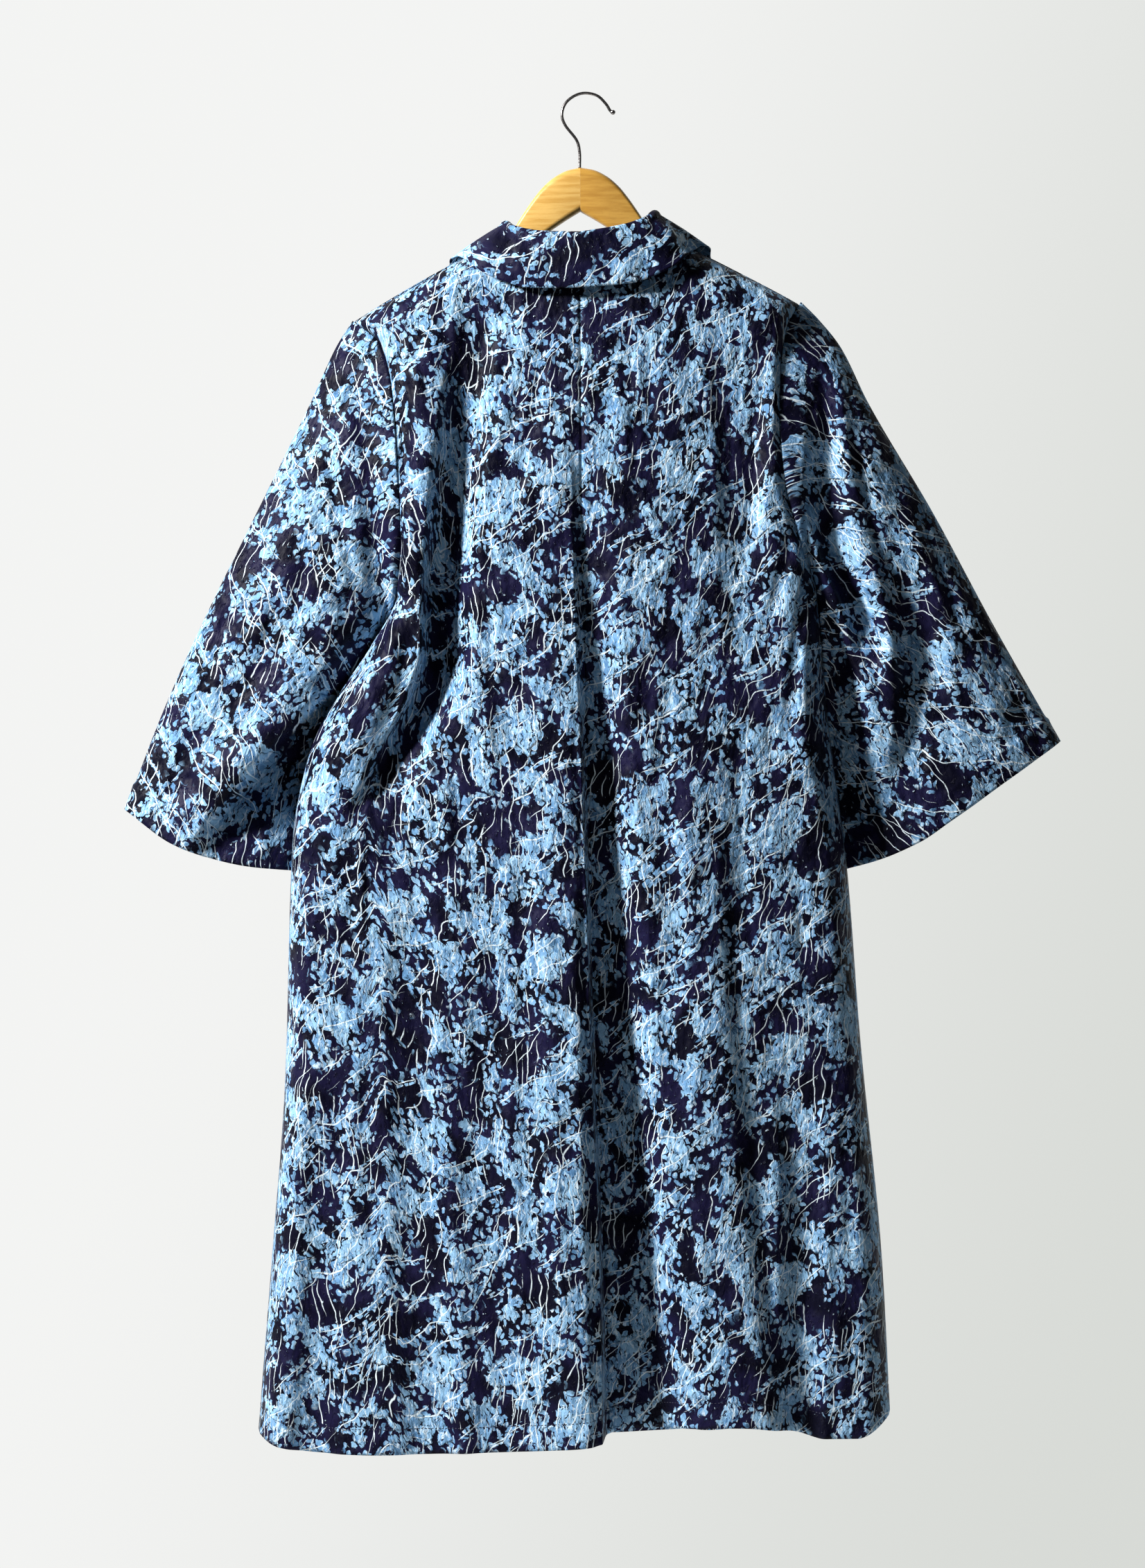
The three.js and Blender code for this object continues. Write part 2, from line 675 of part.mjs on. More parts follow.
// A closed body between an outer and an inner grid.
function wallGeometry(outer, inner, closed) {
  const columns = outer[0].length;
  const last = outer.length - 1;
  const place = [...outer.flat(), ...inner.flat()];
  const at = (skin, i, j) => skin * outer.length * columns + i * columns + (j % columns);
  const index = [];
  const quad = (a, b, c, d) => index.push(a, b, c, a, c, d);
  const spans = closed ? columns : columns - 1;
  for (let i = 0; i < last; i += 1) {
    for (let j = 0; j < spans; j += 1) {
      quad(at(0, i, j), at(0, i + 1, j), at(0, i + 1, j + 1), at(0, i, j + 1));
      quad(at(1, i, j), at(1, i, j + 1), at(1, i + 1, j + 1), at(1, i + 1, j));
    }
    if (!closed) {
      quad(at(0, i, 0), at(1, i, 0), at(1, i + 1, 0), at(0, i + 1, 0));
      quad(at(0, i, spans), at(0, i + 1, spans), at(1, i + 1, spans), at(1, i, spans));
    }
  }
  for (let j = 0; j < spans; j += 1) {
    quad(at(0, 0, j), at(0, 0, j + 1), at(1, 0, j + 1), at(1, 0, j));
    quad(at(0, last, j), at(1, last, j), at(1, last, j + 1), at(0, last, j + 1));
  }
  return facingOut(place, index);
}

// Turns the triangles round if they enclose a negative volume.
function facingOut(place, index) {
  let volume = 0;
  for (let i = 0; i < index.length; i += 3) {
    const [a, b, c] = [place[index[i]], place[index[i + 1]], place[index[i + 2]]];
    volume += a.dot(b.clone().cross(c));
  }
  if (volume < 0) index.reverse();
  const geometry = new THREE.BufferGeometry().setFromPoints(place);
  geometry.setIndex(index);
  return geometry;
}

// ---------------------------------------------------------------- materials

const jacquard = new THREE.MeshStandardMaterial({ color: "#55709d", roughness: 0.62, metalness: 0 });
const beech = new THREE.MeshStandardMaterial({ color: "#dfa63f", roughness: 0.38, metalness: 0 });
const steel = new THREE.MeshStandardMaterial({ color: "#6d6a68", roughness: 0.22, metalness: 1 });

const coat = new THREE.Group();
function place(name, geometry, material) {
  const mesh = new THREE.Mesh(geometry, material);
  mesh.name = name;
  coat.add(mesh);
  return mesh;
}

// ---------------------------------------------------------------- body panels and sleeves

const frontSteps = [7, 6, 1];
const standLine = (towards) => centreFront.map(({ z, x }) => ({ z, x: x + towards * buttonStand }));
const overlap = 2.8; // how far the right front lies outside the left front
const liftRight = (x) => overlap * smooth((middle + 46 - x) / 28);

const half = seam / 2;
const sleeveEase = ({ z }) => seam + 3.4 * smooth((-410 - z) / 30) + 0.8 * smooth((z + 212) / 10);
const sheets = {
  back_left: {
    grid: panelGrid("back", [leftEdge, leftBackLine, foldCrest, centreBack], [7, 7, 2]),
    ease: { top: () => half, first: half, last: half },
    outward: 1,
  },
  back_right: {
    grid: panelGrid("back", [rightEdge, rightBackLine, centreBack], [7, 8]),
    ease: { top: () => half, first: half, last: half },
    outward: -1,
  },
  front_left: {
    grid: panelGrid("front", [leftEdge, leftFrontLine, centreFront, standLine(1)], frontSteps),
    ease: { top: () => half, first: half },
    outward: -1,
  },
  front_right: {
    grid: panelGrid("front", [rightEdge, rightFrontLine, centreFront, standLine(-1)], frontSteps, liftRight),
    ease: { top: () => half, first: half },
    outward: 1,
  },
  sleeve_left: { grid: sleeveGrid(leftSleeve), closed: true, ease: { top: sleeveEase }, outward: -1 },
  sleeve_right: { grid: sleeveGrid(rightSleeve), closed: true, ease: { top: sleeveEase }, outward: 1 },
};

const normalAt = sewnNormals(Object.values(sheets));
for (const [name, sheet] of Object.entries(sheets)) {
  sheet.outer = sheet.grid.map((row) => row.map((p) => p.clone()));
  sheet.inner = sheet.grid.map((row) =>
    row.map((p) => p.clone().addScaledVector(normalAt(p, sheet.closed), -cloth)),
  );
  easeSeams(sheet.outer, sheet.ease);
  easeSeams(sheet.inner, sheet.ease);
  place(name, wallGeometry(sheet.outer, sheet.inner, sheet.closed), jacquard);
}

// ---------------------------------------------------------------- collar

// One section of the collar, from its lower edge on the neck seam, over the roll, to the edge of the fall.
function collarSection(share) {
  const p = Math.abs(share);
  const side = share < 0 ? -1 : 1;
  const of = (column) => track(collar, "p", column)(p);
  const face = p < 0.49 ? "back" : "front";
  const outside = (x, z) => bodyY(face, x, z) + (face === "front" && side > 0 ? liftRight(x) : 0);
  const towards = mix(-1, 1, smooth((p - 0.4) / 0.16));
  const seamX = middle + side * of("seamX");
  const seamZ = topZ(face, seamX);
  const rise = topZ(face, seamX + 0.5) - topZ(face, seamX - 0.5);
  const across = new THREE.Vector3(-rise, 0, 1).setLength(neckGap);
  const foot = new THREE.Vector3(seamX, outside(seamX, seamZ), seamZ).add(across);
  const edgeX = middle + side * of("edgeX");
  const edgeZ = of("edgeZ") + lean * side * of("edgeX");
  const edge = new THREE.Vector3(edgeX, outside(edgeX, edgeZ) + towards * of("off"), edgeZ);
  const rollX = middle + side * of("rollX");
  const roll = new THREE.Vector3(rollX, of("rollY"), of("rollZ") + lean * side * of("rollX"));
  const out = new THREE.Vector3(edge.x - foot.x, edge.y - foot.y, 0).normalize();
  foot.addScaledVector(out, -cloth);
  const shoulder = (by) =>
    roll.clone().addScaledVector(out, by * rollRadius).add(new THREE.Vector3(0, 0, -rollRadius));
  const [stand, fall] = [shoulder(-1), shoulder(1)];
  const near = (by) => roll.clone().addScaledVector(out, by * rollRadius * 0.7).setZ(roll.z - rollRadius * 0.3);
  const over = (share) => {
    const q = fall.clone().lerp(edge, share);
    const rest = outside(q.x, q.z) + (face === "back" ? -fallRest : fallRest);
    if (q.z < topZ(face, q.x) + 1) q.y = face === "back" ? Math.min(q.y, rest) : Math.max(q.y, rest);
    return q;
  };
  return [
    foot,
    foot.clone().lerp(stand, 0.5),
    stand,
    near(-1),
    roll,
    near(1),
    fall,
    ...[0.25, 0.5, 0.75, 1].map(over),
  ];
}

const collarGrid = Array.from({ length: 2 * collarSteps + 1 }, (_, k) => collarSection(k / collarSteps - 1));
const collarNormal = sewnNormals([{ grid: collarGrid, closed: false, outward: 1 }]);
const collarInner = collarGrid.map((row) =>
  row.map((p) => p.clone().addScaledVector(collarNormal(p, false), -cloth)),
);
place("collar", wallGeometry(collarGrid, collarInner, false), jacquard);

// ---------------------------------------------------------------- hanger

// Sections of one arm, from the joint at the centre to the rounded tip.
function armGeometry(side) {
  const top = track(armTop, "out", "z");
  const under = track(armUnder, "out", "z");
  const wide = track(armWide, "out", "wide");
  const reach = armTop.at(-1).out;
  const points = [];
  const around = armSides;
  for (let row = 0; row <= armSteps; row += 1) {
    const out = halvesGap / 2 + (reach - halvesGap / 2) * (row / armSteps) ** 0.9;
    const x = middle + side * out;
    const tilt = lean * side * out;
    const half = wide(out) / 2;
    const [high, low] = [top(out) + tilt, under(out) + tilt];
    for (let k = 0; k < around; k += 1) {
      const turn = (k / around) * 2 * Math.PI;
      const [c, s] = [Math.cos(turn), Math.sin(turn)];
      const y = middleY(x) + half * Math.sign(c) * Math.abs(c) ** 0.7;
      const z = s > 0 ? high - half * (1 - s) : low + half * (1 + s);
      points.push(new THREE.Vector3(x, y, z));
    }
  }
  const index = [];
  for (let row = 0; row < armSteps; row += 1) {
    for (let k = 0; k < around; k += 1) {
      const [a, b] = [row * around + k, row * around + ((k + 1) % around)];
      index.push(a, b, b + around, a, b + around, a + around);
    }
  }
  for (let k = 1; k < around - 1; k += 1) {
    const end = armSteps * around;
    index.push(0, k + 1, k, end, end + k, end + k + 1);
  }
  return facingOut(points, index);
}
place("hanger_arm_left", armGeometry(-1), beech);
place("hanger_arm_right", armGeometry(1), beech);

const round = new THREE.Shape().absarc(0, 0, wire / 2, 0, 2 * Math.PI, false);
const hookPath = new THREE.CatmullRomCurve3(hookLine.map(({ x, z }) => new THREE.Vector3(x, 0, z)));
const hookGeometry = new THREE.ExtrudeGeometry(round, { steps: 38, curveSegments: 5, extrudePath: hookPath });
hookGeometry.deleteAttribute("normal");
hookGeometry.deleteAttribute("uv");
place("hanger_hook", mergeVertices(hookGeometry, 1e-4), steel);

export default coat;
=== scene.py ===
import math

import bpy
import numpy as np
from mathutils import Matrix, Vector


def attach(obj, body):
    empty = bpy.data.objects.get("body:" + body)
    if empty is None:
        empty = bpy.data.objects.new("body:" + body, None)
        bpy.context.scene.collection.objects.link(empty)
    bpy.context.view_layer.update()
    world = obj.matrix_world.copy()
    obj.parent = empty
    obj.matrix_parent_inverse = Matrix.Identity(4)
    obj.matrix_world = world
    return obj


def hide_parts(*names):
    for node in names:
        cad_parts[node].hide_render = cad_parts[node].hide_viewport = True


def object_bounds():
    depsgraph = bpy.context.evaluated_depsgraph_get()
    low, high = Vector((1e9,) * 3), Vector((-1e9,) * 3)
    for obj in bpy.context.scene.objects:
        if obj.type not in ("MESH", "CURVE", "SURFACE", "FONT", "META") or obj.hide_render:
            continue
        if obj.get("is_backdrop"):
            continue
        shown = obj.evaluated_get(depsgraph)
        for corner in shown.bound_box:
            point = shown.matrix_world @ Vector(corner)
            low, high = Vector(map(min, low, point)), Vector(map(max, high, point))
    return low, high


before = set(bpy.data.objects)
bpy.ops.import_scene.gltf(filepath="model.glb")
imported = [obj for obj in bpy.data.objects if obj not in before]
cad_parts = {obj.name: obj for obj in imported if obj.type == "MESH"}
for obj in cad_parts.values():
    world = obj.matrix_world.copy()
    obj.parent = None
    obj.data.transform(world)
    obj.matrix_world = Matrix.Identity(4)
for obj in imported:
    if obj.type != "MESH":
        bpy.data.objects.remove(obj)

cad_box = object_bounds()

# ---------------------------------------------------------------- back, left and right
# The coat's back is two panels of crinkled jacquard, sewn down the centre from the collar to the hem. Below the
# shoulder blades the spare width falls in one deep fold beside the seam, and smaller ones run in from the sleeves.

# All in millimetres from the inside top of the hook, and turned into metres as each mesh is made
mm = 0.001
cloth_thick = 1.1
hem_deep = 23
stitch_draw = 0.5  # how far the hem's stitches draw the cloth in
middle = -5  # x of the centre of the hanger and of the neck
lean = 0.03  # rise of the shoulders towards the right, for each millimetre across
neck_half = 80
neck_z = {"side": -131, "back": -157, "front": -240}
shoulder_slope = 0.53
underarm = -456
sweep = 0.09  # how far forward the hanger's arms reach, for each millimetre out
# How deep a seam draws the cloth in and how wide its groove is, and the ridge beside the armhole's
armhole_deep, armhole_wide = 1.8, 3.0
ridge_high, ridge_wide, ridge_away = 0.8, 5, 9
centre_deep, centre_wide = 1.1, 1.8
# The body's uneven surface: height, share of z that counts (0.5 draws the bumps out to double), width, seed
body_crinkles = [(1.7, 0.5, 33, 4), (0.9, 0.6, 14, 5)]
crown = {"shoulder": 32, "side": 26}  # how far in from an edge the body reaches its full depth
neck_round = 0.92  # share of the depth that the edge of the neck keeps at the centre

# z, x: the armhole from the shoulder point to the underarm, then the side seam down to the hem
left_edge = [
    (-204, -212), (-228, -186), (-268, -176), (-335, -171), (-400, -168), (-456, -173), (-500, -196),
    (-545, -226), (-598, -253), (-680, -268), (-900, -275), (-1060, -287), (-1225, -300),
]
right_edge = [
    (-187, 196), (-212, 183), (-250, 177), (-300, 176), (-354, 181), (-417, 199), (-456, 212),
    (-563, 221), (-704, 239), (-858, 251), (-1060, 271), (-1210, 279),
]
centre_back = [(-157, -5), (-420, -3), (-720, 5), (-850, 9), (-980, 14), (-1110, 19), (-1235, 21)]
fold_crest = [(z, x - 9) for z, x in centre_back]
left_back_line = [
    (-133, -85), (-228, -104), (-354, -123), (-450, -139), (-501, -140), (-537, -151), (-598, -180),
    (-660, -190), (-800, -178), (-1235, -165),
]
right_back_line = [(-129, 75), (-330, 96), (-560, 108), (-1235, 130)]

# x, z
back_hem = [
    (-300, -1216), (-278, -1226), (-240, -1231), (-190, -1232), (-91, -1229), (-30, -1225), (12, -1221),
    (30, -1215), (79, -1209), (140, -1206), (186, -1211), (215, -1218), (245, -1218), (279, -1199),
]
# z, half of the body's depth behind, and in front
depth_rows = [
    (-130, 26, 24), (-300, 36, 33), (-456, 41, 38), (-700, 45, 41), (-1000, 48, 43), (-1240, 50, 45),
]

# Each fold runs down the cloth: z, x, depth into the garment, and its reach to the left and to the right.
back_folds = [
    [(-150, -90, 0, 20, 20), (-228, -103, 7, 22, 26), (-354, -122, 18, 20, 34), (-410, -132, 30, 14, 38),
     (-460, -138, 39, 12, 42), (-505, -138, 40, 12, 42), (-540, -148, 35, 12, 42), (-598, -176, 20, 14, 42),
     (-665, -205, 0, 24, 44)],
    [(-210, -150, 0, 24, 26), (-290, -146, -9, 22, 24), (-400, -154, -8, 14, 18), (-470, -165, 0, 12, 14)],
    [(-462, -172, 0, 16, 12), (-520, -180, -6, 26, 18), (-600, -215, -7, 30, 30), (-700, -225, 0, 30, 40)],
    [(-300, -3, 0, 14, 26), (-480, -1, 11, 9, 34), (-620, 2, 23, 6, 44), (-760, 6, 33, 5, 52),
     (-900, 10, 40, 5, 62), (-1060, 17, 47, 5, 76), (-1240, 21, 52, 6, 92)],
    [(-480, -24, 0, 30, 16), (-800, -12, -6, 44, 12), (-1240, 2, -9, 60, 12)],
    [(-200, 126, 0, 26, 30), (-330, 138, 7, 26, 30), (-450, 142, 5, 26, 26), (-560, 150, 0, 26, 26)],
    [(-540, 104, 0, 40, 26), (-760, 112, -7, 44, 24), (-980, 128, -9, 52, 26), (-1240, 160, -10, 60, 30)],
    [(-760, 168, 0, 24, 26), (-1000, 196, 6, 26, 24), (-1240, 196, 12, 28, 22)],
    [(-640, -150, 0, 26, 30), (-820, -158, 6, 26, 30), (-1000, -152, 5, 28, 32), (-1240, -140, 7, 34, 36)],
    [(-700, -84, 0, 26, 26), (-960, -92, 5, 26, 28), (-1240, -78, 4, 30, 30)],
    [(-820, -228, 0, 22, 24), (-1040, -236, 5, 24, 26), (-1240, -250, 9, 22, 30)],
]

# Short creases: depth, half width, then the points that the crease runs through.
back_creases = [
    (2.6, 13, (-70, -182), (-92, -236), (-108, -300)),
    (-2.0, 12, (-52, -190), (-66, -262), (-92, -348), (-112, -420)),
    (1.8, 10, (-30, -196), (-44, -280), (-66, -372)),
    (2.4, 10, (-176, -238), (-166, -300), (-158, -352), (-148, -410)),
    (-2.2, 9, (-186, -252), (-176, -318), (-166, -392), (-160, -436)),
    (2.2, 11, (-96, -430), (-82, -520), (-64, -600)),
    (-2.4, 12, (-106, -486), (-92, -568), (-84, -660)),
    (2.0, 10, (-120, -548), (-116, -640), (-108, -720)),
    (2.6, 10, (-150, -596), (-172, -660), (-178, -742)),
    (-2.0, 9, (-196, -618), (-204, -700), (-204, -790)),
    (2.2, 9, (-236, -588), (-244, -650), (-246, -730)),
    (-1.8, 8, (-250, -620), (-256, -700), (-254, -790)),
    (1.8, 12, (-60, -640), (-58, -760), (-50, -880)),
    (-2.2, 14, (-38, -700), (-34, -860), (-24, -1040), (-14, -1200)),
    (2.0, 12, (-122, -780), (-116, -900), (-110, -1060)),
    (1.6, 10, (-198, -860), (-196, -960), (-188, -1080)),
    (-1.6, 12, (-60, -980), (-56, -1100), (-50, -1210)),
    (2.2, 11, (52, -200), (60, -290), (62, -370)),
    (-1.8, 12, (30, -230), (34, -330), (40, -430)),
    (2.8, 12, (158, -212), (156, -280), (152, -350), (144, -430)),
    (-2.4, 10, (172, -240), (168, -310), (168, -380)),
    (3.0, 10, (190, -386), (176, -440), (162, -510)),
    (2.6, 9, (204, -430), (190, -500), (182, -590)),
    (-2.2, 10, (200, -470), (196, -560), (200, -650)),
    (2.0, 9, (214, -520), (214, -600), (222, -690)),
    (2.0, 13, (70, -440), (74, -540), (66, -640)),
    (-2.0, 13, (88, -560), (92, -690), (96, -800)),
    (2.4, 12, (140, -590), (142, -690), (150, -800)),
    (1.8, 10, (186, -660), (196, -760), (208, -880)),
    (-2.0, 12, (170, -880), (176, -1000), (178, -1160)),
    (2.2, 10, (226, -820), (236, -940), (242, -1080)),
    (1.6, 12, (104, -900), (112, -1020), (120, -1150)),
    (-1.8, 10, (212, -1010), (226, -1120), (236, -1200)),
    (1.8, 9, (-20, -226), (4, -238), (34, -236)),
    (1.4, 8, (-60, -560), (-30, -580), (-8, -610)),
    (1.6, 8, (40, -700), (70, -730), (96, -780)),
]


def mix(a, b, t):
    return a + (b - a) * t


def smooth(t):
    t = np.clip(t, 0, 1)
    return t * t * (3 - 2 * t)


def bulge(t):
    """A quarter circle from 0 to 1."""
    return np.sqrt(np.maximum(0, 1 - (1 - np.clip(t, 0, 1)) ** 2))


def track(rows, column=1):
    """One column of a table as a smooth function of its first column, with no overshoot between the rows."""
    rows = sorted(rows)
    at = np.array([r[0] for r in rows], float)
    value = np.array([r[column] for r in rows], float)
    rise = np.diff(value) / np.diff(at)
    before, after = np.r_[rise[0], rise], np.r_[rise, rise[-1]]
    total = np.where(before + after == 0, 1, before + after)
    slope = np.where(before * after <= 0, 0, 2 * before * after / total)

    def value_at(where):
        w = np.clip(where, at[0], at[-1])
        k = np.clip(np.searchsorted(at, w) - 1, 0, len(at) - 2)
        wide = at[k + 1] - at[k]
        t = (w - at[k]) / wide
        return (
            value[k] * (1 + 2 * t) * (1 - t) ** 2
            + slope[k] * wide * t * (1 - t) ** 2
            + value[k + 1] * t * t * (3 - 2 * t)
            + slope[k + 1] * wide * t * t * (t - 1)
        )

    return value_at


def fold_depth(folds, x, z):
    """How far a set of long folds pushes the cloth in at (x, z)."""
    total = np.zeros_like(x)
    for rows in folds:
        line, deep, left, right = (track(rows, k) for k in (1, 2, 3, 4))
        away = x - line(z)
        share = np.abs(away) / np.where(away < 0, left(z), right(z))
        inside = (share < 1) & (z <= rows[0][0]) & (z >= rows[-1][0])
        total += np.where(inside, deep(z) * (1 + np.cos(math.pi * np.minimum(share, 1) ** 1.45)) / 2, 0)
    return total


def crease_depth(creases, x, z):
    """How far a set of short creases pushes the cloth in. Each fades out towards its two ends."""
    total = np.zeros_like(x)
    for deep, wide, *path in creases:
        path = np.array(path, float)
        step = np.hypot(*np.diff(path, axis=0).T)
        run = np.r_[0, np.cumsum(step)]
        nearest, along = np.full(x.shape, 1e9), np.zeros_like(x)
        for k, (a, b) in enumerate(zip(path[:-1], path[1:])):
            d = b - a
            t = np.clip(((x - a[0]) * d[0] + (z - a[1]) * d[1]) / (d @ d), 0, 1)
            away = np.hypot(x - a[0] - t * d[0], z - a[1] - t * d[1])
            closer = away < nearest
            nearest = np.where(closer, away, nearest)
            along = np.where(closer, run[k] + t * step[k], along)
        fade = np.sin(math.pi * np.clip(along / run[-1], 0, 1)) ** 0.7
        total += np.where(nearest < wide, deep * fade * (1 + np.cos(math.pi * np.minimum(nearest / wide, 1))) / 2, 0)
    return total


def crinkle(u, v, size, seed):
    """A soft uneven surface between -1 and 1, with bumps about size millimetres wide."""
    grid = np.random.default_rng(seed).uniform(-1, 1, (64, 64))
    a, b = u / size, v / size
    i, j = np.floor(a).astype(int), np.floor(b).astype(int)
    s, t = smooth(a - i), smooth(b - j)
    corner = lambda p, q: grid[(i + p) % 64, (j + q) % 64]
    return mix(mix(corner(0, 0), corner(1, 0), s), mix(corner(0, 1), corner(1, 1), s), t)


edge_x = {"left": track(left_edge), "right": track(right_edge)}
shoulder_z = {"left": left_edge[0][0], "right": right_edge[0][0]}
depth_of = {"back": track(depth_rows, 1), "front": track(depth_rows, 2)}
hem_of = {"back": track(back_hem)}
folds_of = {"back": back_folds}
creases_of = {"back": back_creases}


def middle_y(x):
    return sweep * np.hypot(x - middle, 30)


def top_z(face, x):
    """Height of a panel's upper edge: the shoulder seams, with the neckline between them."""
    out = np.abs(x - middle)
    tilt = lean * (x - middle)
    neck = mix(neck_z[face], neck_z["side"], np.minimum(1, out / neck_half) ** (2.4 if face == "back" else 1.7))
    return np.where(out >= neck_half, neck_z["side"] - shoulder_slope * (out - neck_half), neck) + tilt


def groove(away, wide):
    """1 on the line of a seam, fading out on both sides of it."""
    return np.exp(-((away / wide) ** 2))


def body_y(face, x, z, fine=True):
    """Where a panel lies at (x, z), with its folds, and with its creases and crinkles if fine."""
    towards = -1 if face == "back" else 1
    left = x < middle
    edge = np.where(left, edge_x["left"](z), edge_x["right"](z))
    out = np.minimum(1, np.abs(x - middle) / neck_half)
    neck = neck_round * np.sqrt(1 - out * out)
    from_top = mix(bulge((top_z(face, x) - z) / crown["shoulder"]), 1, neck)
    shoulder = np.where(left, shoulder_z["left"], shoulder_z["right"])
    armhole = np.clip((shoulder - z) / (shoulder - underarm), 0, 1)
    opened = np.sqrt(np.maximum(0, np.sin(math.pi * armhole)))
    from_side = mix(bulge(np.abs(x - edge) / crown["side"]), 1, opened)
    fold = fold_depth(folds_of[face], x, z)
    if fine:
        fold = fold + crease_depth(creases_of[face], x, z)
        for high, squash, wide, seed in body_crinkles:
            fold += high * crinkle(x, z * squash, wide, seed)
        away = np.abs(x - edge)
        beside = armhole_deep * groove(away, armhole_wide) - ridge_high * groove(away - ridge_away, ridge_wide)
        fold += beside * (opened > 0.02)
        if face == "back":
            fold += centre_deep * groove(x - track(centre_back)(z), centre_wide)
    fold *= smooth(from_top) * smooth(from_side)
    return middle_y(x) + towards * (depth_of[face](z) * from_top * from_side - fold)


def panel(face, lines, steps, armhole_rows, skirt_rows, lift=lambda x: 0):
    """Points of a body panel between lines of cloth that run from its upper edge to the hem."""
    columns = [(k, n / count) for k, count in enumerate(steps) for n in range(count)] + [(len(steps) - 1, 1)]
    down = (1 - np.cos(math.pi * np.arange(armhole_rows + 1) / armhole_rows)) / 2
    below = np.arange(1, skirt_rows + 1) / skirt_rows
    grid = []
    for k, share in columns:
        top_x = mix(lines[k][0][1], lines[k + 1][0][1], share)
        foot_x = mix(lines[k][-1][1], lines[k + 1][-1][1], share)
        top, hem = top_z(face, np.array(top_x)), hem_of[face](np.array(foot_x))
        z = np.r_[mix(top, underarm, down), mix(underarm, hem, below)]
        x = mix(track(lines[k])(z), track(lines[k + 1])(z), share)
        grid.append(np.stack([x, body_y(face, x, z) + lift(x), z], -1))
    return np.stack(grid, 1)


def to_hem(grid):
    """How far each point of a grid is from its last row, along the cloth, in millimetres."""
    step = np.linalg.norm(np.diff(grid, axis=0), axis=-1)
    return np.concatenate([np.cumsum(step[::-1], 0)[::-1], np.zeros((1, grid.shape[1]))])


def new_piece(name, points, edges, faces):
    """A mesh object from points in metres, linked to the scene."""
    mesh = bpy.data.meshes.new(name)
    mesh.from_pydata(points.tolist(), edges, faces)
    piece = bpy.data.objects.new(name, mesh)
    bpy.context.scene.collection.objects.link(piece)
    return piece


def cloth_shell(name, grid, uv, closed=False, flip=False, hemmed=True):
    """A thin closed shell, in metres, whose outer skin is a grid of points in millimetres.

    A hemmed shell is doubled over inside along its last rows, and drawn in a little by the hem's stitching.
    uv is the cloth's own grain, a point for each of the grid's, in metres."""
    rows, cols = grid.shape[:2]
    ring = np.concatenate([grid, grid[:, :1]], 1) if closed else grid
    a, b, c, d = ring[:-1, :-1], ring[1:, :-1], ring[1:, 1:], ring[:-1, 1:]
    face_normal = np.cross(c - a, d - b)
    normal = np.zeros_like(grid)
    for rs in (slice(0, -1), slice(1, None)):
        for cs in (slice(0, -1), slice(1, None)):
            part = np.zeros_like(ring)
            part[rs, cs] = face_normal
            if closed:
                part[:, 0] += part[:, -1]
                part = part[:, :-1]
            normal += part
    normal /= np.maximum(1e-9, np.linalg.norm(normal, axis=-1, keepdims=True))
    if flip:
        normal = -normal
    outer, thick = grid, np.full((rows, cols), cloth_thick)
    if hemmed:
        left = to_hem(grid)
        outer = grid - normal * (stitch_draw * groove(left - hem_deep, 3))[..., None]
        thick += cloth_thick * (1 - smooth((left - hem_deep - 1) / 3))
    inner = outer - normal * thick[..., None]
    points = np.concatenate([outer.reshape(-1, 3), inner.reshape(-1, 3)]) * mm

    i, j = np.meshgrid(np.arange(rows - 1), np.arange(cols if closed else cols - 1), indexing="ij")
    i, j = i.ravel(), j.ravel()
    q, p = np.arange(cols if closed else cols - 1), np.arange(rows - 1)
    # skin, row and column of each quad's four corners: the two skins, the two ends, and the two sides
    strips = [
        [(0, i, j), (0, i + 1, j), (0, i + 1, j + 1), (0, i, j + 1)],
        [(1, i, j), (1, i, j + 1), (1, i + 1, j + 1), (1, i + 1, j)],
        [(0, 0, q), (0, 0, q + 1), (1, 0, q + 1), (1, 0, q)],
        [(1, rows - 1, q), (1, rows - 1, q + 1), (0, rows - 1, q + 1), (0, rows - 1, q)],
    ]
    if not closed:
        strips += [
            [(1, p, 0), (1, p + 1, 0), (0, p + 1, 0), (0, p, 0)],
            [(0, p, cols - 1), (0, p + 1, cols - 1), (1, p + 1, cols - 1), (1, p, cols - 1)],
        ]
    faces, place = [], []
    for corners in strips:
        skin, r, k = np.stack([np.broadcast_arrays(*corner) for corner in corners]).transpose(1, 2, 0)
        faces.append((skin * rows + r) * cols + k % cols)
        place.append(uv[r, k])
    faces, place = np.concatenate(faces), np.concatenate(place)
    if flip:
        faces, place = faces[:, ::-1], place[:, ::-1]
    piece = new_piece(name, points, [], faces.tolist())
    layer = piece.data.uv_layers.new(name="grain")
    layer.data.foreach_set("uv", place.reshape(-1).astype(np.float32))
    piece.data.polygons.foreach_set("use_smooth", np.ones(len(faces), bool))
    return piece


def panel_grain(grid, from_col):
    """Grain of a body panel, in metres: down the cloth from its upper edge, and across it from one column."""
    step = np.hypot(np.diff(grid[..., 0], axis=1), np.diff(grid[..., 1], axis=1))
    across = np.concatenate([np.zeros((len(grid), 1)), np.cumsum(step, 1)], 1)
    across -= across[:, from_col][:, None]
    for _ in range(60):  # evened out from row to row, so that the figure runs straight down
        padded = np.concatenate([across[:1], across, across[-1:]])
        across = (padded[:-2] + 2 * across + padded[2:]) / 4
    step = np.hypot(np.diff(grid[..., 1], axis=0), np.diff(grid[..., 2], axis=0))
    down = np.concatenate([np.zeros((1, grid.shape[1])), np.cumsum(step, 0)])
    return np.stack([across, grid[0, :, 2] - down], -1) * mm


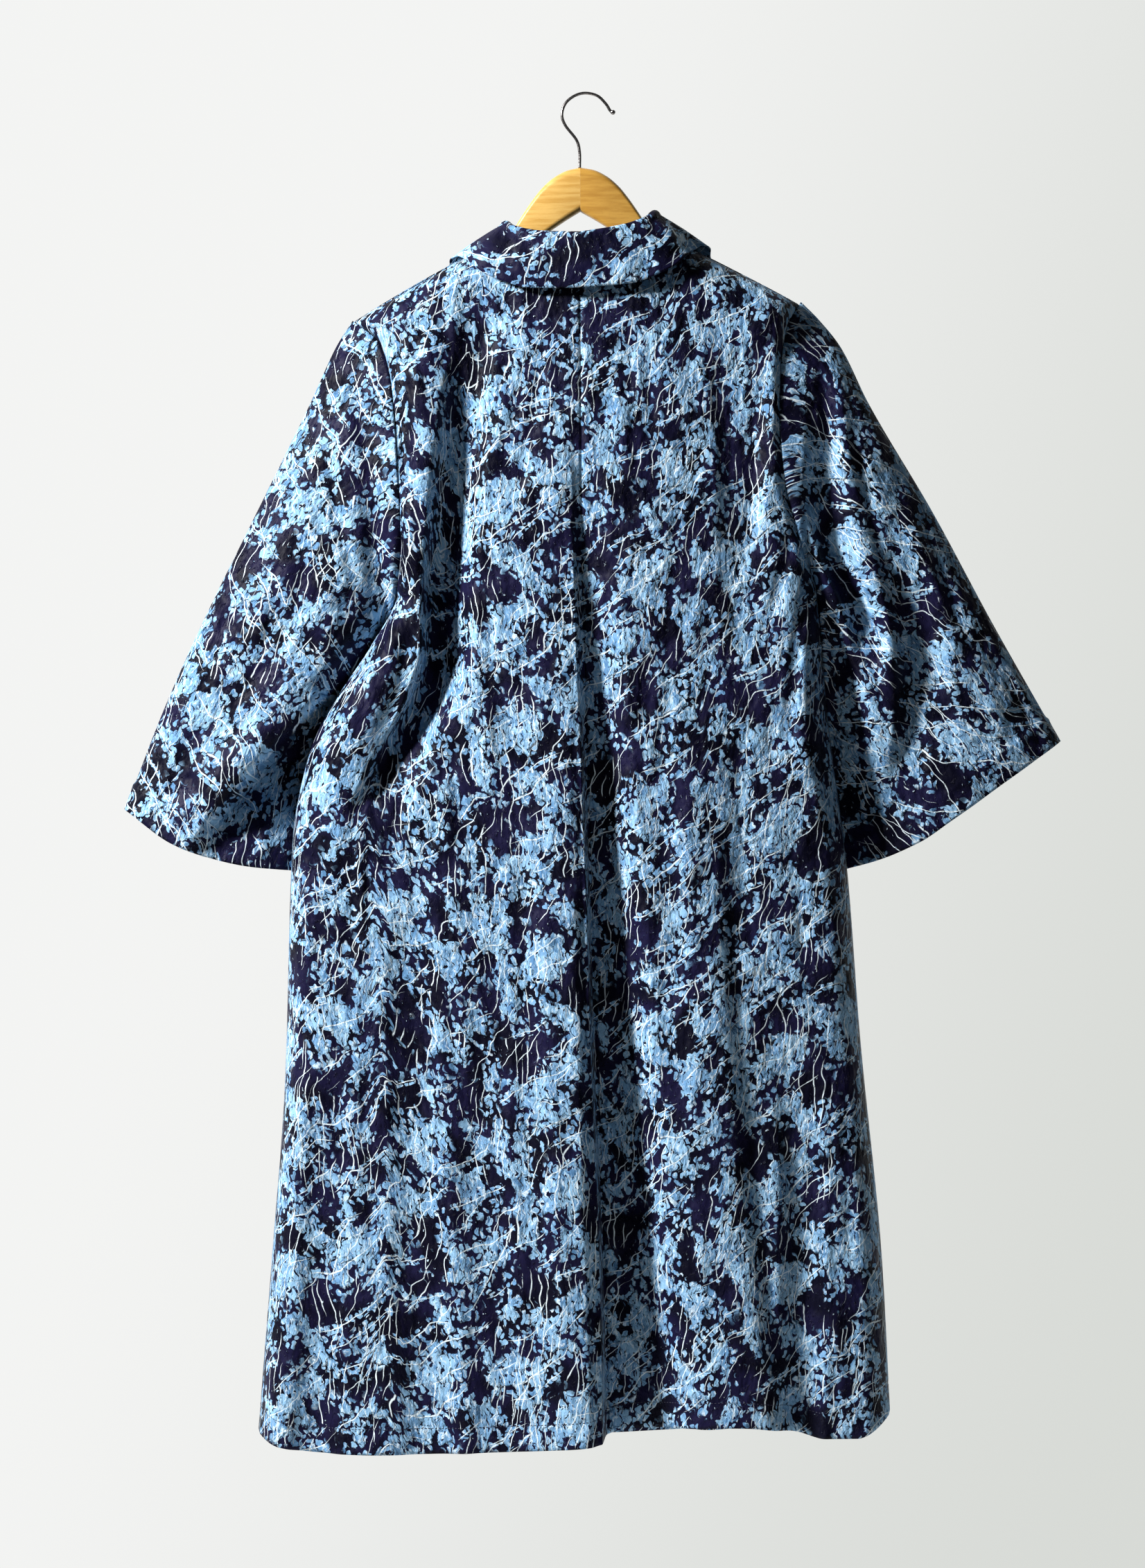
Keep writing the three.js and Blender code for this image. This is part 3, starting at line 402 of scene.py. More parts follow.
class Shader:
    """Builds the nodes of a material or of the world, one after another."""

    def __init__(self, owner):
        owner.use_nodes = True
        self.tree = owner.node_tree
        self.surface = self.tree.nodes.get("Principled BSDF")

    def add(self, kind, settings=None, **inputs):
        node = self.tree.nodes.new(kind)
        for key, value in (settings or {}).items():
            setattr(node, key, value)
        for key, value in inputs.items():
            self.feed(node, key.replace("_", " "), value)
        return node

    def feed(self, node, socket, value):
        target = node.inputs[int(socket)] if socket.isdigit() else node.inputs[socket]
        if isinstance(value, bpy.types.NodeSocket):
            self.tree.links.new(value, target)
        else:
            target.default_value = value

    def math(self, operation, a, b=0.0, c=0.0):
        node = self.add("ShaderNodeMath", {"operation": operation})
        for k, value in enumerate((a, b, c)):
            self.feed(node, str(k), value)
        return node.outputs[0]

    def ramp(self, value, low, high, to_low=0.0, to_high=1.0):
        node = self.add("ShaderNodeMapRange", {"interpolation_type": "SMOOTHSTEP"}, Value=value,
                        From_Min=low, From_Max=high, To_Min=to_low, To_Max=to_high)
        return node.outputs["Result"]

    def blend(self, share, a, b):
        node = self.add("ShaderNodeMix", {"data_type": "RGBA"})
        for socket, value in (("0", share), ("6", a), ("7", b)):
            self.feed(node, socket, value)
        return node.outputs[2]

    def scaled(self, vector, scale, turn=0.0, shift=(0, 0, 0)):
        mapping = self.add("ShaderNodeMapping", Vector=vector, Scale=scale, Rotation=(0, 0, turn), Location=shift)
        return mapping.outputs[0]

    def bump(self, height, distance, strength):
        relief = self.add("ShaderNodeBump", Height=height, Distance=distance, Strength=strength)
        self.feed(self.surface, "Normal", relief.outputs[0])

    def constants(self, **values):
        for name, value in values.items():
            self.surface.inputs[name.replace("_", " ")].default_value = value

    def cells(self, vector, scale, randomness=1.0):
        """How far each point is from the nearest of a scatter of centres."""
        return self.add("ShaderNodeTexVoronoi", {"voronoi_dimensions": "2D"}, Vector=vector, Scale=scale,
                        Randomness=randomness).outputs["Distance"]

    def noise(self, vector, scale, detail=2.0, rough=0.5, output="Fac", **settings):
        node = self.add("ShaderNodeTexNoise", {"noise_dimensions": "2D", **settings}, Vector=vector, Scale=scale,
                        Detail=detail, Roughness=rough)
        return node.outputs[output]


# navy is the ground's own colour; navy_painted_shade is that navy darkened as painted shade
navy = (0.0075, 0.0066, 0.0300, 1)
navy_painted_shade = (0.0020, 0.0020, 0.0090, 1)
petal = (0.240, 0.435, 0.640, 1)
petal_deep = (0.085, 0.205, 0.385, 1)
petal_grey = (0.130, 0.285, 0.500, 1)
thread_pale = (0.720, 0.820, 0.870, 1)
repeat = (0.262, 0.206)  # in metres across and down, half dropped from one to the next


def jacquard():
    """Navy satin ground with raised pale blossom, twigs and berries, in a repeat of its own."""
    cloth = bpy.data.materials.new("jacquard")
    s = Shader(cloth)
    grain = s.add("ShaderNodeUVMap", {"uv_map": "grain"}).outputs[0]

    def shaken(scale, reach, detail=2.0):
        """The grain, pushed about a little by noise."""
        drift = s.add("ShaderNodeVectorMath", {"operation": "SUBTRACT"})
        s.feed(drift, "0", s.noise(grain, scale, detail, output="Color"))
        drift.inputs[1].default_value = (0.5, 0.5, 0.5)
        moved = s.add("ShaderNodeVectorMath", {"operation": "MULTIPLY_ADD"})
        s.feed(moved, "0", drift.outputs[0])
        moved.inputs[1].default_value = (reach, reach, 0)
        s.feed(moved, "2", grain)
        return moved.outputs[0]

    place = shaken(85, 0.011, 3)
    calm = shaken(45, 0.006, 2)
    split = s.add("ShaderNodeSeparateXYZ", Vector=place)
    turn = s.math("MULTIPLY", split.outputs[0], 2 * math.pi / repeat[0])
    drop = s.math("MULTIPLY", split.outputs[1], 2 * math.pi / repeat[1])
    half_drop = s.math("ADD", drop, s.math("MULTIPLY", turn, 0.5))

    def layout(across, down, shift, detail=0.5):
        """Noise that comes round every repeat: the repeat's two ways each turn a circle in four dimensions."""
        ring = s.add("ShaderNodeCombineXYZ", X=s.math("MULTIPLY", s.math("COSINE", turn), across),
                     Y=s.math("MULTIPLY", s.math("SINE", turn), across),
                     Z=s.math("MULTIPLY", s.math("COSINE", half_drop), down)).outputs[0]
        w = s.math("MULTIPLY_ADD", s.math("SINE", half_drop), down, shift)
        return s.add("ShaderNodeTexNoise", {"noise_dimensions": "4D"}, Vector=ring, W=w, Scale=1.0, Detail=detail,
                     Roughness=0.5).outputs["Fac"]

    # Blossom: petals that run together over the middle of a spray, with dark flecks of ground between its threads
    spray = layout(1.85, 1.10, 0.0, 1.4)
    petals = s.cells(s.scaled(place, (1, 0.8, 1)), 160)
    streak = s.noise(s.scaled(place, (1, 0.30, 1)), 400, 3, 0.65)
    swell = s.math("SUBTRACT", s.ramp(spray, 0.512, 0.612), petals)
    swell = s.math("MULTIPLY_ADD", s.math("SUBTRACT", streak, 0.5), 1.0, swell)
    speck = s.ramp(s.noise(s.scaled(place, (1, 0.38, 1)), 410, 2, 0.55), 0.580, 0.620)
    blossom = s.math("MULTIPLY", s.ramp(swell, 0.0, 0.06), s.math("SUBTRACT", 1.0, speck))

    # Twigs: fine lines side by side, each of which starts and stops on its own
    def twigs(angle, apart, sway, long, width, keep, shift):
        """Where a set of twigs is, how far off its nearest lane each point is, and how much of the lane is kept."""
        turned = s.add("ShaderNodeSeparateXYZ", Vector=s.scaled(calm, (1, 1, 1), angle, (shift, shift, 0)))
        across, along = turned.outputs[0], turned.outputs[1]
        bend = s.noise(s.scaled(calm, (1, 1, 1), angle), 1 / long, 1.5, 0.5)
        lane = s.math("MULTIPLY_ADD", bend, sway, s.math("DIVIDE", across, apart))
        line = s.math("FLOOR", lane)
        own = s.add("ShaderNodeTexWhiteNoise", {"noise_dimensions": "1D"}, W=s.math("ADD", line, shift))
        middle_of = s.math("MULTIPLY_ADD", own.outputs["Value"], 0.56, 0.22)
        off = s.math("ABSOLUTE", s.math("SUBTRACT", s.math("FRACT", lane), middle_of))
        where = s.add("ShaderNodeCombineXYZ", X=s.math("MULTIPLY_ADD", line, 5.37, shift),
                      Y=s.math("DIVIDE", along, long)).outputs[0]
        kept = s.ramp(s.noise(where, 1.0, 0), keep, keep + 0.10)
        thin = s.math("MULTIPLY", kept, width / apart)
        edge = 0.00025 / apart  # the blur of a twig's edge
        drawn = s.ramp(s.math("SUBTRACT", off, thin), -edge, edge, 1.0, 0.0)
        return s.math("MULTIPLY", drawn, s.ramp(kept, 0.0, 0.05)), off, kept

    upright, _, _ = twigs(0.10, 0.0066, 3.2, 0.052, 0.00040, 0.49, 3.1)
    leaning, beside, leaning_kept = twigs(1.02, 0.019, 1.4, 0.060, 0.00042, 0.48, 7.7)
    crossing, _, _ = twigs(0.62, 0.017, 1.7, 0.050, 0.00036, 0.53, 13.3)
    some = s.ramp(layout(1.6, 0.9, 5.0), 0.47, 0.50)
    twig = s.math("MAXIMUM", s.math("MAXIMUM", s.math("MULTIPLY", upright, some), leaning), crossing)

    # Berries and small leaves, along the leaning twigs and scattered round the sprays
    rounds = s.cells(place, 190, 0.9)
    strung = s.math("MULTIPLY", s.ramp(beside, 0.17, 0.24, 1.0, 0.0), leaning_kept)
    berry = s.math("MULTIPLY", s.ramp(rounds, 0.36, 0.42, 1.0, 0.0), s.ramp(strung, 0.30, 0.5))
    drops = s.cells(s.scaled(place, (1, 0.75, 1)), 165)
    fringe = s.ramp(spray, 0.43, 0.48)
    dot = s.math("MULTIPLY", s.ramp(drops, 0.32, 0.37, 1.0, 0.0), fringe)

    tone = s.ramp(s.noise(s.scaled(place, (1, 0.45, 1)), 120, 3, 0.6), 0.34, 0.50)
    grey = s.ramp(layout(1.7, 1.3, 23.0), 0.50, 0.57)
    bloom_colour = s.blend(tone, petal_deep, petal)
    bloom_colour = s.blend(s.math("MULTIPLY", grey, 0.7), bloom_colour, petal_grey)
    bloom_colour = s.blend(s.math("MULTIPLY", s.ramp(streak, 0.53, 0.66), 0.65), bloom_colour, thread_pale)
    # The ground is painted in broad random patches of darker navy: painted shade of its puckered satin
    ground = s.blend(s.ramp(s.noise(grain, 26, 1), 0.35, 0.65), navy_painted_shade, navy)
    raised = s.math("MAXIMUM", s.math("MAXIMUM", berry, dot), blossom)
    colour = s.blend(raised, ground, bloom_colour)
    colour = s.blend(s.math("MULTIPLY", twig, 0.95), colour, thread_pale)
    s.feed(s.surface, "Base Color", colour)

    figure = s.math("MAXIMUM", raised, twig)
    pucker = s.noise(s.scaled(grain, (1, 0.5, 1)), 210, 3, 0.6)
    broad = s.noise(s.scaled(grain, (1, 0.6, 1)), 62, 2, 0.5)
    weave = s.noise(s.scaled(grain, (1, 0.3, 1)), 2600, 1)
    body = s.ramp(swell, -0.25, 0.35)
    height = s.math("MULTIPLY", pucker, s.math("MULTIPLY_ADD", body, 0.75, 0.20))
    for form, share in ((broad, 2.4), (weave, 0.025), (body, 0.85), (speck, -0.30)):
        height = s.math("MULTIPLY_ADD", form, share, height)
    s.bump(height, 0.0019, 1.0)
    s.feed(s.surface, "Roughness", s.ramp(figure, 0.0, 1.0, 0.50, 0.68))
    s.constants(Specular_IOR_Level=0.07, Sheen_Weight=0.01, Sheen_Roughness=0.45, Sheen_Tint=(0.62, 0.62, 0.95, 1))
    return cloth


def navy_thread():
    """Twisted navy thread, a little glossier than the cloth."""
    thread = bpy.data.materials.new("navy_thread")
    s = Shader(thread)
    at = s.add("ShaderNodeTexCoord").outputs["Object"]
    twist = s.noise(s.scaled(at, (1, 1, 0.4)), 2600, 1, noise_dimensions="3D")
    # The thread is darker where its twist's bump is low: painted shade in the grooves of the twist
    s.feed(s.surface, "Base Color", s.blend(s.ramp(twist, 0.35, 0.65), navy_painted_shade, (0.022, 0.021, 0.060, 1)))
    s.bump(twist, 0.0002, 0.6)
    s.constants(Roughness=0.45)
    return thread


jacquard_cloth = jacquard()
stitch_thread = navy_thread()


def topstitch(name, line):
    """A row of stitches along a line of points in metres, sunk by half into the cloth that the line lies on."""
    seam = new_piece(name, line, [(k, k + 1) for k in range(len(line) - 1)], [])
    tree = bpy.data.node_groups.new("topstitch", "GeometryNodeTree")
    tree.interface.new_socket("Geometry", in_out="INPUT", socket_type="NodeSocketGeometry")
    sizes = {}
    for title, value in (("Stitch pitch", 0.0032), ("Stitch length", 0.0025), ("Thread thickness", 0.0007)):
        socket = tree.interface.new_socket(title, in_out="INPUT", socket_type="NodeSocketFloat")
        sizes[socket.identifier] = value
    tree.interface.new_socket("Geometry", in_out="OUTPUT", socket_type="NodeSocketGeometry")
    node = {k: tree.nodes.new(kind) for k, kind in {
        "given": "NodeGroupInput", "curve": "GeometryNodeMeshToCurve", "points": "GeometryNodeResampleCurve",
        "way": "GeometryNodeInputTangent", "aim": "FunctionNodeAlignRotationToVector",
        "stitch": "GeometryNodeMeshUVSphere", "size": "ShaderNodeCombineXYZ", "place": "GeometryNodeInstanceOnPoints",
        "real": "GeometryNodeRealizeInstances", "smooth": "GeometryNodeSetShadeSmooth",
        "finish": "GeometryNodeSetMaterial", "result": "NodeGroupOutput",
    }.items()}
    node["points"].mode = "LENGTH"
    node["aim"].axis = "X"
    for title, value in (("Segments", 6), ("Rings", 4), ("Radius", 0.5)):
        node["stitch"].inputs[title].default_value = value
    node["finish"].inputs["Material"].default_value = stitch_thread
    for a, out, b, into in (
        ("given", "Geometry", "curve", "Mesh"), ("curve", "Curve", "points", "Curve"),
        ("given", "Stitch pitch", "points", "Length"), ("points", "Curve", "place", "Points"),
        ("stitch", "Mesh", "smooth", "Geometry"), ("smooth", "Geometry", "place", "Instance"),
        ("way", "Tangent", "aim", "Vector"), ("aim", "Rotation", "place", "Rotation"),
        ("given", "Stitch length", "size", "X"), ("given", "Thread thickness", "size", "Y"),
        ("given", "Thread thickness", "size", "Z"), ("size", "Vector", "place", "Scale"),
        ("place", "Instances", "real", "Geometry"), ("real", "Geometry", "finish", "Geometry"),
        ("finish", "Geometry", "result", "Geometry"),
    ):
        tree.links.new(node[a].outputs[out], node[b].inputs[into])
    sewing = seam.modifiers.new("topstitch", "NODES")
    sewing.node_group = tree
    for identifier, value in sizes.items():
        sewing[identifier] = value
    view = bpy.context.evaluated_depsgraph_get()
    sewn = bpy.data.meshes.new_from_object(seam.evaluated_get(view))
    seam.modifiers.remove(sewing)
    seam.data = sewn
    sewn.name = name
    return seam


def sew(node, grid, uv, closed=False, flip=False, hemmed=True):
    """One cut piece of the coat in its node's place, with the row of stitches that holds its hem."""
    piece = cloth_shell(f"{node}_cloth", grid, uv, closed, flip, hemmed)
    piece.data.materials.append(jacquard_cloth)
    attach(piece, "root")
    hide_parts(node)
    stitches = []
    if hemmed:
        left = to_hem(grid)
        rows, cols = left.shape
        skin = np.array([v.co for v in piece.data.vertices[: rows * cols]]).reshape(rows, cols, 3)
        line = []
        for k in range(cols):
            r = int(np.searchsorted(-left[:, k], -hem_deep)) - 1
            t = (left[r, k] - hem_deep) / (left[r, k] - left[r + 1, k])
            line.append(mix(skin[r, k], skin[r + 1, k], t))
        if closed:
            line.append(line[0])
        stitches.append(topstitch(f"{node}_hem_stitches", np.array(line)))
        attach(stitches[0], "root")


back_left = panel("back", [left_edge, left_back_line, fold_crest, centre_back], [46, 54, 12], 100, 210)
back_right = panel("back", [right_edge, right_back_line, centre_back], [54, 64], 100, 210)
sew("back_left", back_left, panel_grain(back_left, -1))
sew("back_right", back_right, panel_grain(back_right, -1) * (-1, 1), flip=True)

# ---------------------------------------------------------------- fronts, left and right
# Two plain fronts of the same cloth. They meet at the centre, where the right one laps over the left, and hang in
# soft folds from the chest and from the waist.

front_hem = [(-300, -1216), (-200, -1228), (0, -1224), (200, -1212), (279, -1199)]
centre_front = [(-240, -5), (-1230, -2)]
left_front_line = [(-133, -85), (-400, -112), (-700, -150), (-1235, -165)]
right_front_line = [(-129, 75), (-400, 108), (-700, 130), (-1235, 150)]
button_stand = 18  # how far each front reaches past the centre front
front_lap = 2.8  # how far outside the left front the right one lies
front_figure = (0.117, 0.071)  # where on the figure the fronts are cut, in metres

folds_of["front"] = [
    [(-200, -118, 0, 24, 24), (-340, -128, 12, 20, 30), (-460, -136, 22, 16, 34), (-560, -160, 12, 22, 36),
     (-680, -190, 0, 26, 36)],
    [(-200, 116, 0, 24, 24), (-340, 128, 11, 28, 22), (-460, 146, 18, 32, 20), (-580, 168, 9, 34, 24),
     (-700, 190, 0, 34, 26)],
    [(-560, -92, 0, 30, 26), (-860, -112, 12, 38, 26), (-1240, -132, 24, 52, 30)],
    [(-760, -214, 0, 26, 26), (-1240, -236, 11, 28, 30)],
    [(-540, 84, 0, 26, 30), (-880, 104, 13, 28, 40), (-1240, 122, 25, 30, 54)],
    [(-780, 198, 0, 26, 26), (-1240, 222, 10, 28, 26)],
]
creases_of["front"] = [
    (2.2, 12, (-60, -320), (-78, -420), (-96, -520)),
    (-2.0, 12, (-84, -340), (-104, -440), (-124, -560)),
    (2.4, 10, (-170, -250), (-160, -330), (-150, -420)),
    (2.0, 12, (-40, -520), (-50, -660), (-54, -800)),
    (-2.0, 13, (-140, -700), (-150, -860), (-156, -1020)),
    (1.8, 11, (-240, -640), (-248, -760), (-252, -900)),
    (2.2, 12, (52, -330), (70, -430), (84, -540)),
    (-2.2, 12, (96, -300), (104, -400), (120, -500)),
    (2.4, 10, (166, -250), (168, -330), (178, -420)),
    (2.0, 12, (38, -560), (46, -700), (52, -850)),
    (-2.0, 13, (150, -720), (160, -860), (168, -1010)),
    (1.8, 11, (214, -640), (224, -760), (232, -900)),
]
hem_of["front"] = track(front_hem)


def stand_line(towards):
    return [(z, x + towards * button_stand) for z, x in centre_front]


def lift_right(x):
    return front_lap * smooth((middle + 46 - x) / 28)


front_left = panel("front", [left_edge, left_front_line, centre_front, stand_line(1)], [30, 30, 5], 56, 120)
front_right = panel("front", [right_edge, right_front_line, centre_front, stand_line(-1)], [30, 30, 5], 56, 120,
                    lift_right)
sew("front_left", front_left, panel_grain(front_left, 60) + front_figure, flip=True)
sew("front_right", front_right, panel_grain(front_right, 60) * (-1, 1) + front_figure)

# ---------------------------------------------------------------- sleeves
# Two set-in sleeves of the same cloth, wide at the cuff and a little short of the wrist. Each hangs from its
# armhole across the side of the body, with one deep fold from the underarm.

sleeve_rest = {"back": 2.2, "front": 7.2}  # how far off the body's front each half of a sleeve lies

# over, under: z, x of the sleeve's two outlines. cuff: x, z. inner: y of the middle of the sleeve along the body.
# figure: where on the cloth's figure the sleeve is cut. back, front: folds, as on the body.
left_sleeve = {
    "half": "left", "side": -1, "figure": 221,
    "over": [(-204, -212), (-228, -227), (-278, -250), (-379, -300), (-480, -350), (-560, -386), (-650, -421)],
    "under": [(-456, -173), (-475, -178), (-500, -188), (-545, -214), (-598, -241), (-650, -255), (-708, -264)],
    "cuff": [(-421, -650), (-378, -680), (-343, -694), (-307, -702), (-266, -706)],
    "inner": 44,
    "back": [
        [(-225, -196, 0, 26, 12), (-300, -184, 7, 30, 14), (-400, -178, 9, 28, 14), (-460, -180, 0, 26, 14)],
        [(-462, -174, 3, 16, 60), (-505, -188, 26, 13, 80), (-556, -236, 44, 12, 90),
         (-594, -276, 48, 12, 100), (-626, -304, 38, 14, 110), (-660, -326, 18, 22, 110), (-705, -346, 4, 34, 90)],
        [(-470, -205, 0, 34, 16), (-560, -262, -7, 44, 18), (-640, -336, -6, 44, 22), (-700, -370, 0, 40, 30)],
        [(-380, -230, 0, 24, 26), (-470, -270, 5, 26, 28), (-580, -345, 4, 28, 28), (-650, -380, 0, 26, 26)],
    ],
    "front": [
        [(-300, -226, 0, 26, 26), (-440, -268, 10, 28, 28), (-600, -330, 8, 30, 34), (-700, -350, 2, 30, 36)],
    ],
    "creases": [
        (2.4, 9, (-214, -226), (-206, -280), (-198, -340)),
        (-2.0, 9, (-226, -250), (-218, -320), (-206, -400)),
        (2.6, 9, (-236, -300), (-226, -380), (-208, -452)),
        (-2.4, 10, (-262, -340), (-246, -420), (-222, -490)),
        (2.8, 9, (-254, -420), (-262, -470), (-290, -530)),
        (2.2, 9, (-196, -470), (-226, -520), (-262, -552)),
        (-2.2, 9, (-288, -440), (-300, -500), (-330, -560)),
        (2.4, 10, (-318, -450), (-340, -520), (-372, -590)),
        (-2.0, 10, (-340, -500), (-362, -580), (-392, -640)),
        (2.2, 8, (-300, -560), (-330, -600), (-352, -640)),
        (2.0, 8, (-280, -380), (-300, -420), (-330, -448)),
        (2.2, 8, (-248, -580), (-262, -640), (-262, -690)),
        (-2.0, 8, (-272, -620), (-290, -660), (-296, -696)),
    ],
}
right_sleeve = {
    "half": "right", "side": 1, "figure": 90,
    "over": [(-187, 196), (-203, 212), (-228, 232), (-278, 257), (-379, 317), (-480, 372), (-588, 434)],
    "under": [(-456, 212), (-475, 211), (-500, 211), (-540, 212), (-600, 218), (-708, 232)],
    "cuff": [(434, -588), (376, -629), (341, -654), (305, -679), (265, -697), (234, -706)],
    "inner": 46,
    "back": [
        [(-205, 202, 0, 16, 18), (-300, 210, 7, 16, 26), (-360, 211, 12, 14, 30), (-420, 222, 19, 12, 32),
         (-465, 240, 22, 10, 30), (-500, 250, 12, 12, 28), (-530, 256, 0, 18, 24)],
        [(-385, 262, 0, 18, 26), (-440, 280, 8, 16, 36), (-500, 293, 14, 14, 44), (-570, 296, 11, 18, 44),
         (-640, 292, 3, 26, 40), (-690, 288, 0, 26, 40)],
        [(-470, 222, 5, 14, 18), (-540, 230, 14, 16, 24), (-640, 240, 15, 18, 32), (-710, 246, 10, 22, 38)],
    ],
    "front": [
        [(-290, 232, 0, 26, 26), (-440, 282, 10, 28, 28), (-580, 320, 9, 32, 34), (-690, 330, 3, 32, 32)],
    ],
    "creases": [
        (2.6, 9, (214, -238), (218, -300), (226, -360)),
        (-2.2, 9, (228, -262), (236, -330), (248, -392)),
        (2.8, 9, (238, -300), (256, -362), (268, -420)),
        (2.4, 8, (250, -440), (262, -490), (268, -550)),
        (-2.6, 9, (262, -430), (274, -490), (276, -560)),
        (2.4, 10, (300, -380), (324, -440), (350, -500)),
        (-2.2, 10, (286, -360), (310, -420), (328, -480)),
        (2.4, 10, (318, -500), (330, -570), (338, -640)),
        (-2.0, 10, (350, -500), (372, -560), (388, -612)),
        (2.0, 9, (262, -580), (266, -640), (268, -690)),
        (2.2, 8, (300, -440), (330, -470), (360, -480)),
        (-2.0, 9, (310, -560), (314, -620), (312, -670)),
        (2.0, 8, (380, -520), (400, -560), (416, -596)),
    ],
}
sleeve_depth = track([(0, 36), (0.35, 38), (0.7, 34), (1, 30)])  # by share of the way down to the cuff


def crowned(f):
    """Share of a sleeve's depth, from its outer outline at 0 to its inner one at 1."""
    return (2 * np.sqrt(f * (1 - f))) ** 0.75


def sleeve_rings(sleeve, around, rows):
    """Rings from the armhole to the cuff. Each runs from the underarm up the front half and down the back half."""
    over, under, cuff = track(sleeve["over"]), track(sleeve["under"]), track(sleeve["cuff"])
    (top_zed, top_x), (pit_z, pit_x) = sleeve["over"][0], sleeve["under"][0]
    (outer_z, outer_x), (inner_z, inner_x) = sleeve["over"][-1], sleeve["under"][-1]
    half, side = sleeve["half"], sleeve["side"]
    s = (np.arange(rows + 1) / rows)[:, None]
    f_half = (1 - np.cos(math.pi * np.arange(around + 1) / around)) / 2
    sides = []
    for face, f in (("front", f_half[::-1][None, :]), ("back", f_half[None, 1:])):
        towards = -1 if face == "back" else 1
        arm_z = mix(top_zed, pit_z, f)
        arm_x = np.where(f <= 0, top_x, edge_x[half](arm_z))
        over_z, under_z = mix(top_zed, outer_z, s), mix(pit_z, inner_z, s)
        cuff_x = mix(outer_x, inner_x, f)
        corners_x = (1 - s) * mix(top_x, pit_x, f) + s * mix(outer_x, inner_x, f)
        corners_z = (1 - s) * mix(top_zed, pit_z, f) + s * mix(outer_z, inner_z, f)
        x = mix(over(over_z), under(under_z), f) + mix(arm_x, cuff_x, s) - corners_x
        z = mix(over_z, under_z, f) + mix(arm_z, cuff(cuff_x), s) - corners_z
        round_off = crowned(f)
        swung = mix(middle_y(x), sleeve["inner"], smooth(s / 0.14) * f**2)
        fold = fold_depth(sleeve[face], x, z) + crease_depth(sleeve["creases"], x, z) * -towards
        fold += (1.6 * crinkle(x + z * 0.5, z * 0.6 - x * 0.4, 27, 8) + 0.8 * crinkle(x, z, 12, 9)) * smooth(s / 0.12)
        own = swung + towards * (sleeve_depth(s) * round_off - fold * smooth(round_off * 1.4))
        y = mix(body_y(face, arm_x, arm_z), own, smooth(s / 0.2))
        inside = (x - edge_x[half](z)) * -side
        rest = body_y("front", x, z, fine=False) + sleeve_rest[face]
        y = np.where((s > 0.1) & (inside > 0), np.maximum(y, rest), y)
        sides.append(np.stack(np.broadcast_arrays(x, y, z), -1))
    return np.concatenate([sides[0], sides[1][:, :-1]], 1)


def sleeve_grain(grid, sleeve):
    """Grain of a sleeve, in metres: down the arm, and round it both ways from the line over the arm."""
    (z0, x0), (z1, x1) = sleeve["over"][0], sleeve["over"][-1]
    axis = np.array([x1 - x0, 0, z1 - z0], float)
    axis /= np.linalg.norm(axis)
    inwards = sleeve["side"] * np.array([axis[2], 0, -axis[0]])
    ring = np.concatenate([grid, grid[:, :1]], 1)
    middle_col = (ring.shape[1] - 1) // 2
    f = (1 - np.cos(math.pi * np.abs(np.arange(ring.shape[1]) - middle_col) / middle_col)) / 2
    wide, deep = np.diff(200 * f), np.diff(36 * crowned(f))  # of a sleeve 200 mm across and 36 mm deep on each side
    turned = np.r_[0, np.cumsum(np.hypot(wide, deep) - np.abs(wide))]
    turned = np.abs(turned - turned[middle_col])
    flat = ring @ inwards
    across = flat - flat[:, [middle_col]] + turned
    across[:, :middle_col] *= -1
    return np.stack([(across + sleeve["figure"]) * sleeve["side"], -(ring @ axis)], -1) * mm


for sleeve in (left_sleeve, right_sleeve):
    rings = sleeve_rings(sleeve, 74, 140)
    sew(f"sleeve_{sleeve['half']}", rings, sleeve_grain(rings, sleeve), closed=True,
        flip=sleeve["half"] == "left")

# ---------------------------------------------------------------- collar
# One collar of the same cloth: a low stand sewn to the neck, turned over along the roll line, and a fall that lies
# on the shoulders. Its lower edge stands a little off the back.

# share of the way round from the centre back, seam x, roll x, y, z, edge x, z, and how far the edge stands off
collar_rows = [
    (0.00, 0, 0, -31, -129, 0, -179, 9),
    (0.20, 36, 36, -27, -125, 44, -177, 9),
    (0.36, 62, 61, -17, -117, 84, -163, 9),
    (0.45, 75, 68, -5, -111, 111, -141, 6),
    (0.53, 79, 70, 11, -115, 119, -145, 6),
    (0.64, 70, 66, 24, -130, 119, -176, 6),
    (0.80, 46, 49, 35, -172, 106, -226, 6),
    (1.00, 6, 6, 39, -231, 66, -296, 6),
]
roll_radius = 3.6
fall_rest = 3.0  # how far off the body the fall lies at least
fall_bow = 2.2  # how far it bows out between the roll and its edge
seam_gap = 0.6  # from the edge of the neck to the foot of the stand
roll_lean, edge_lean = 0.070, 0.045  # the collar sits lower on the left than on the right


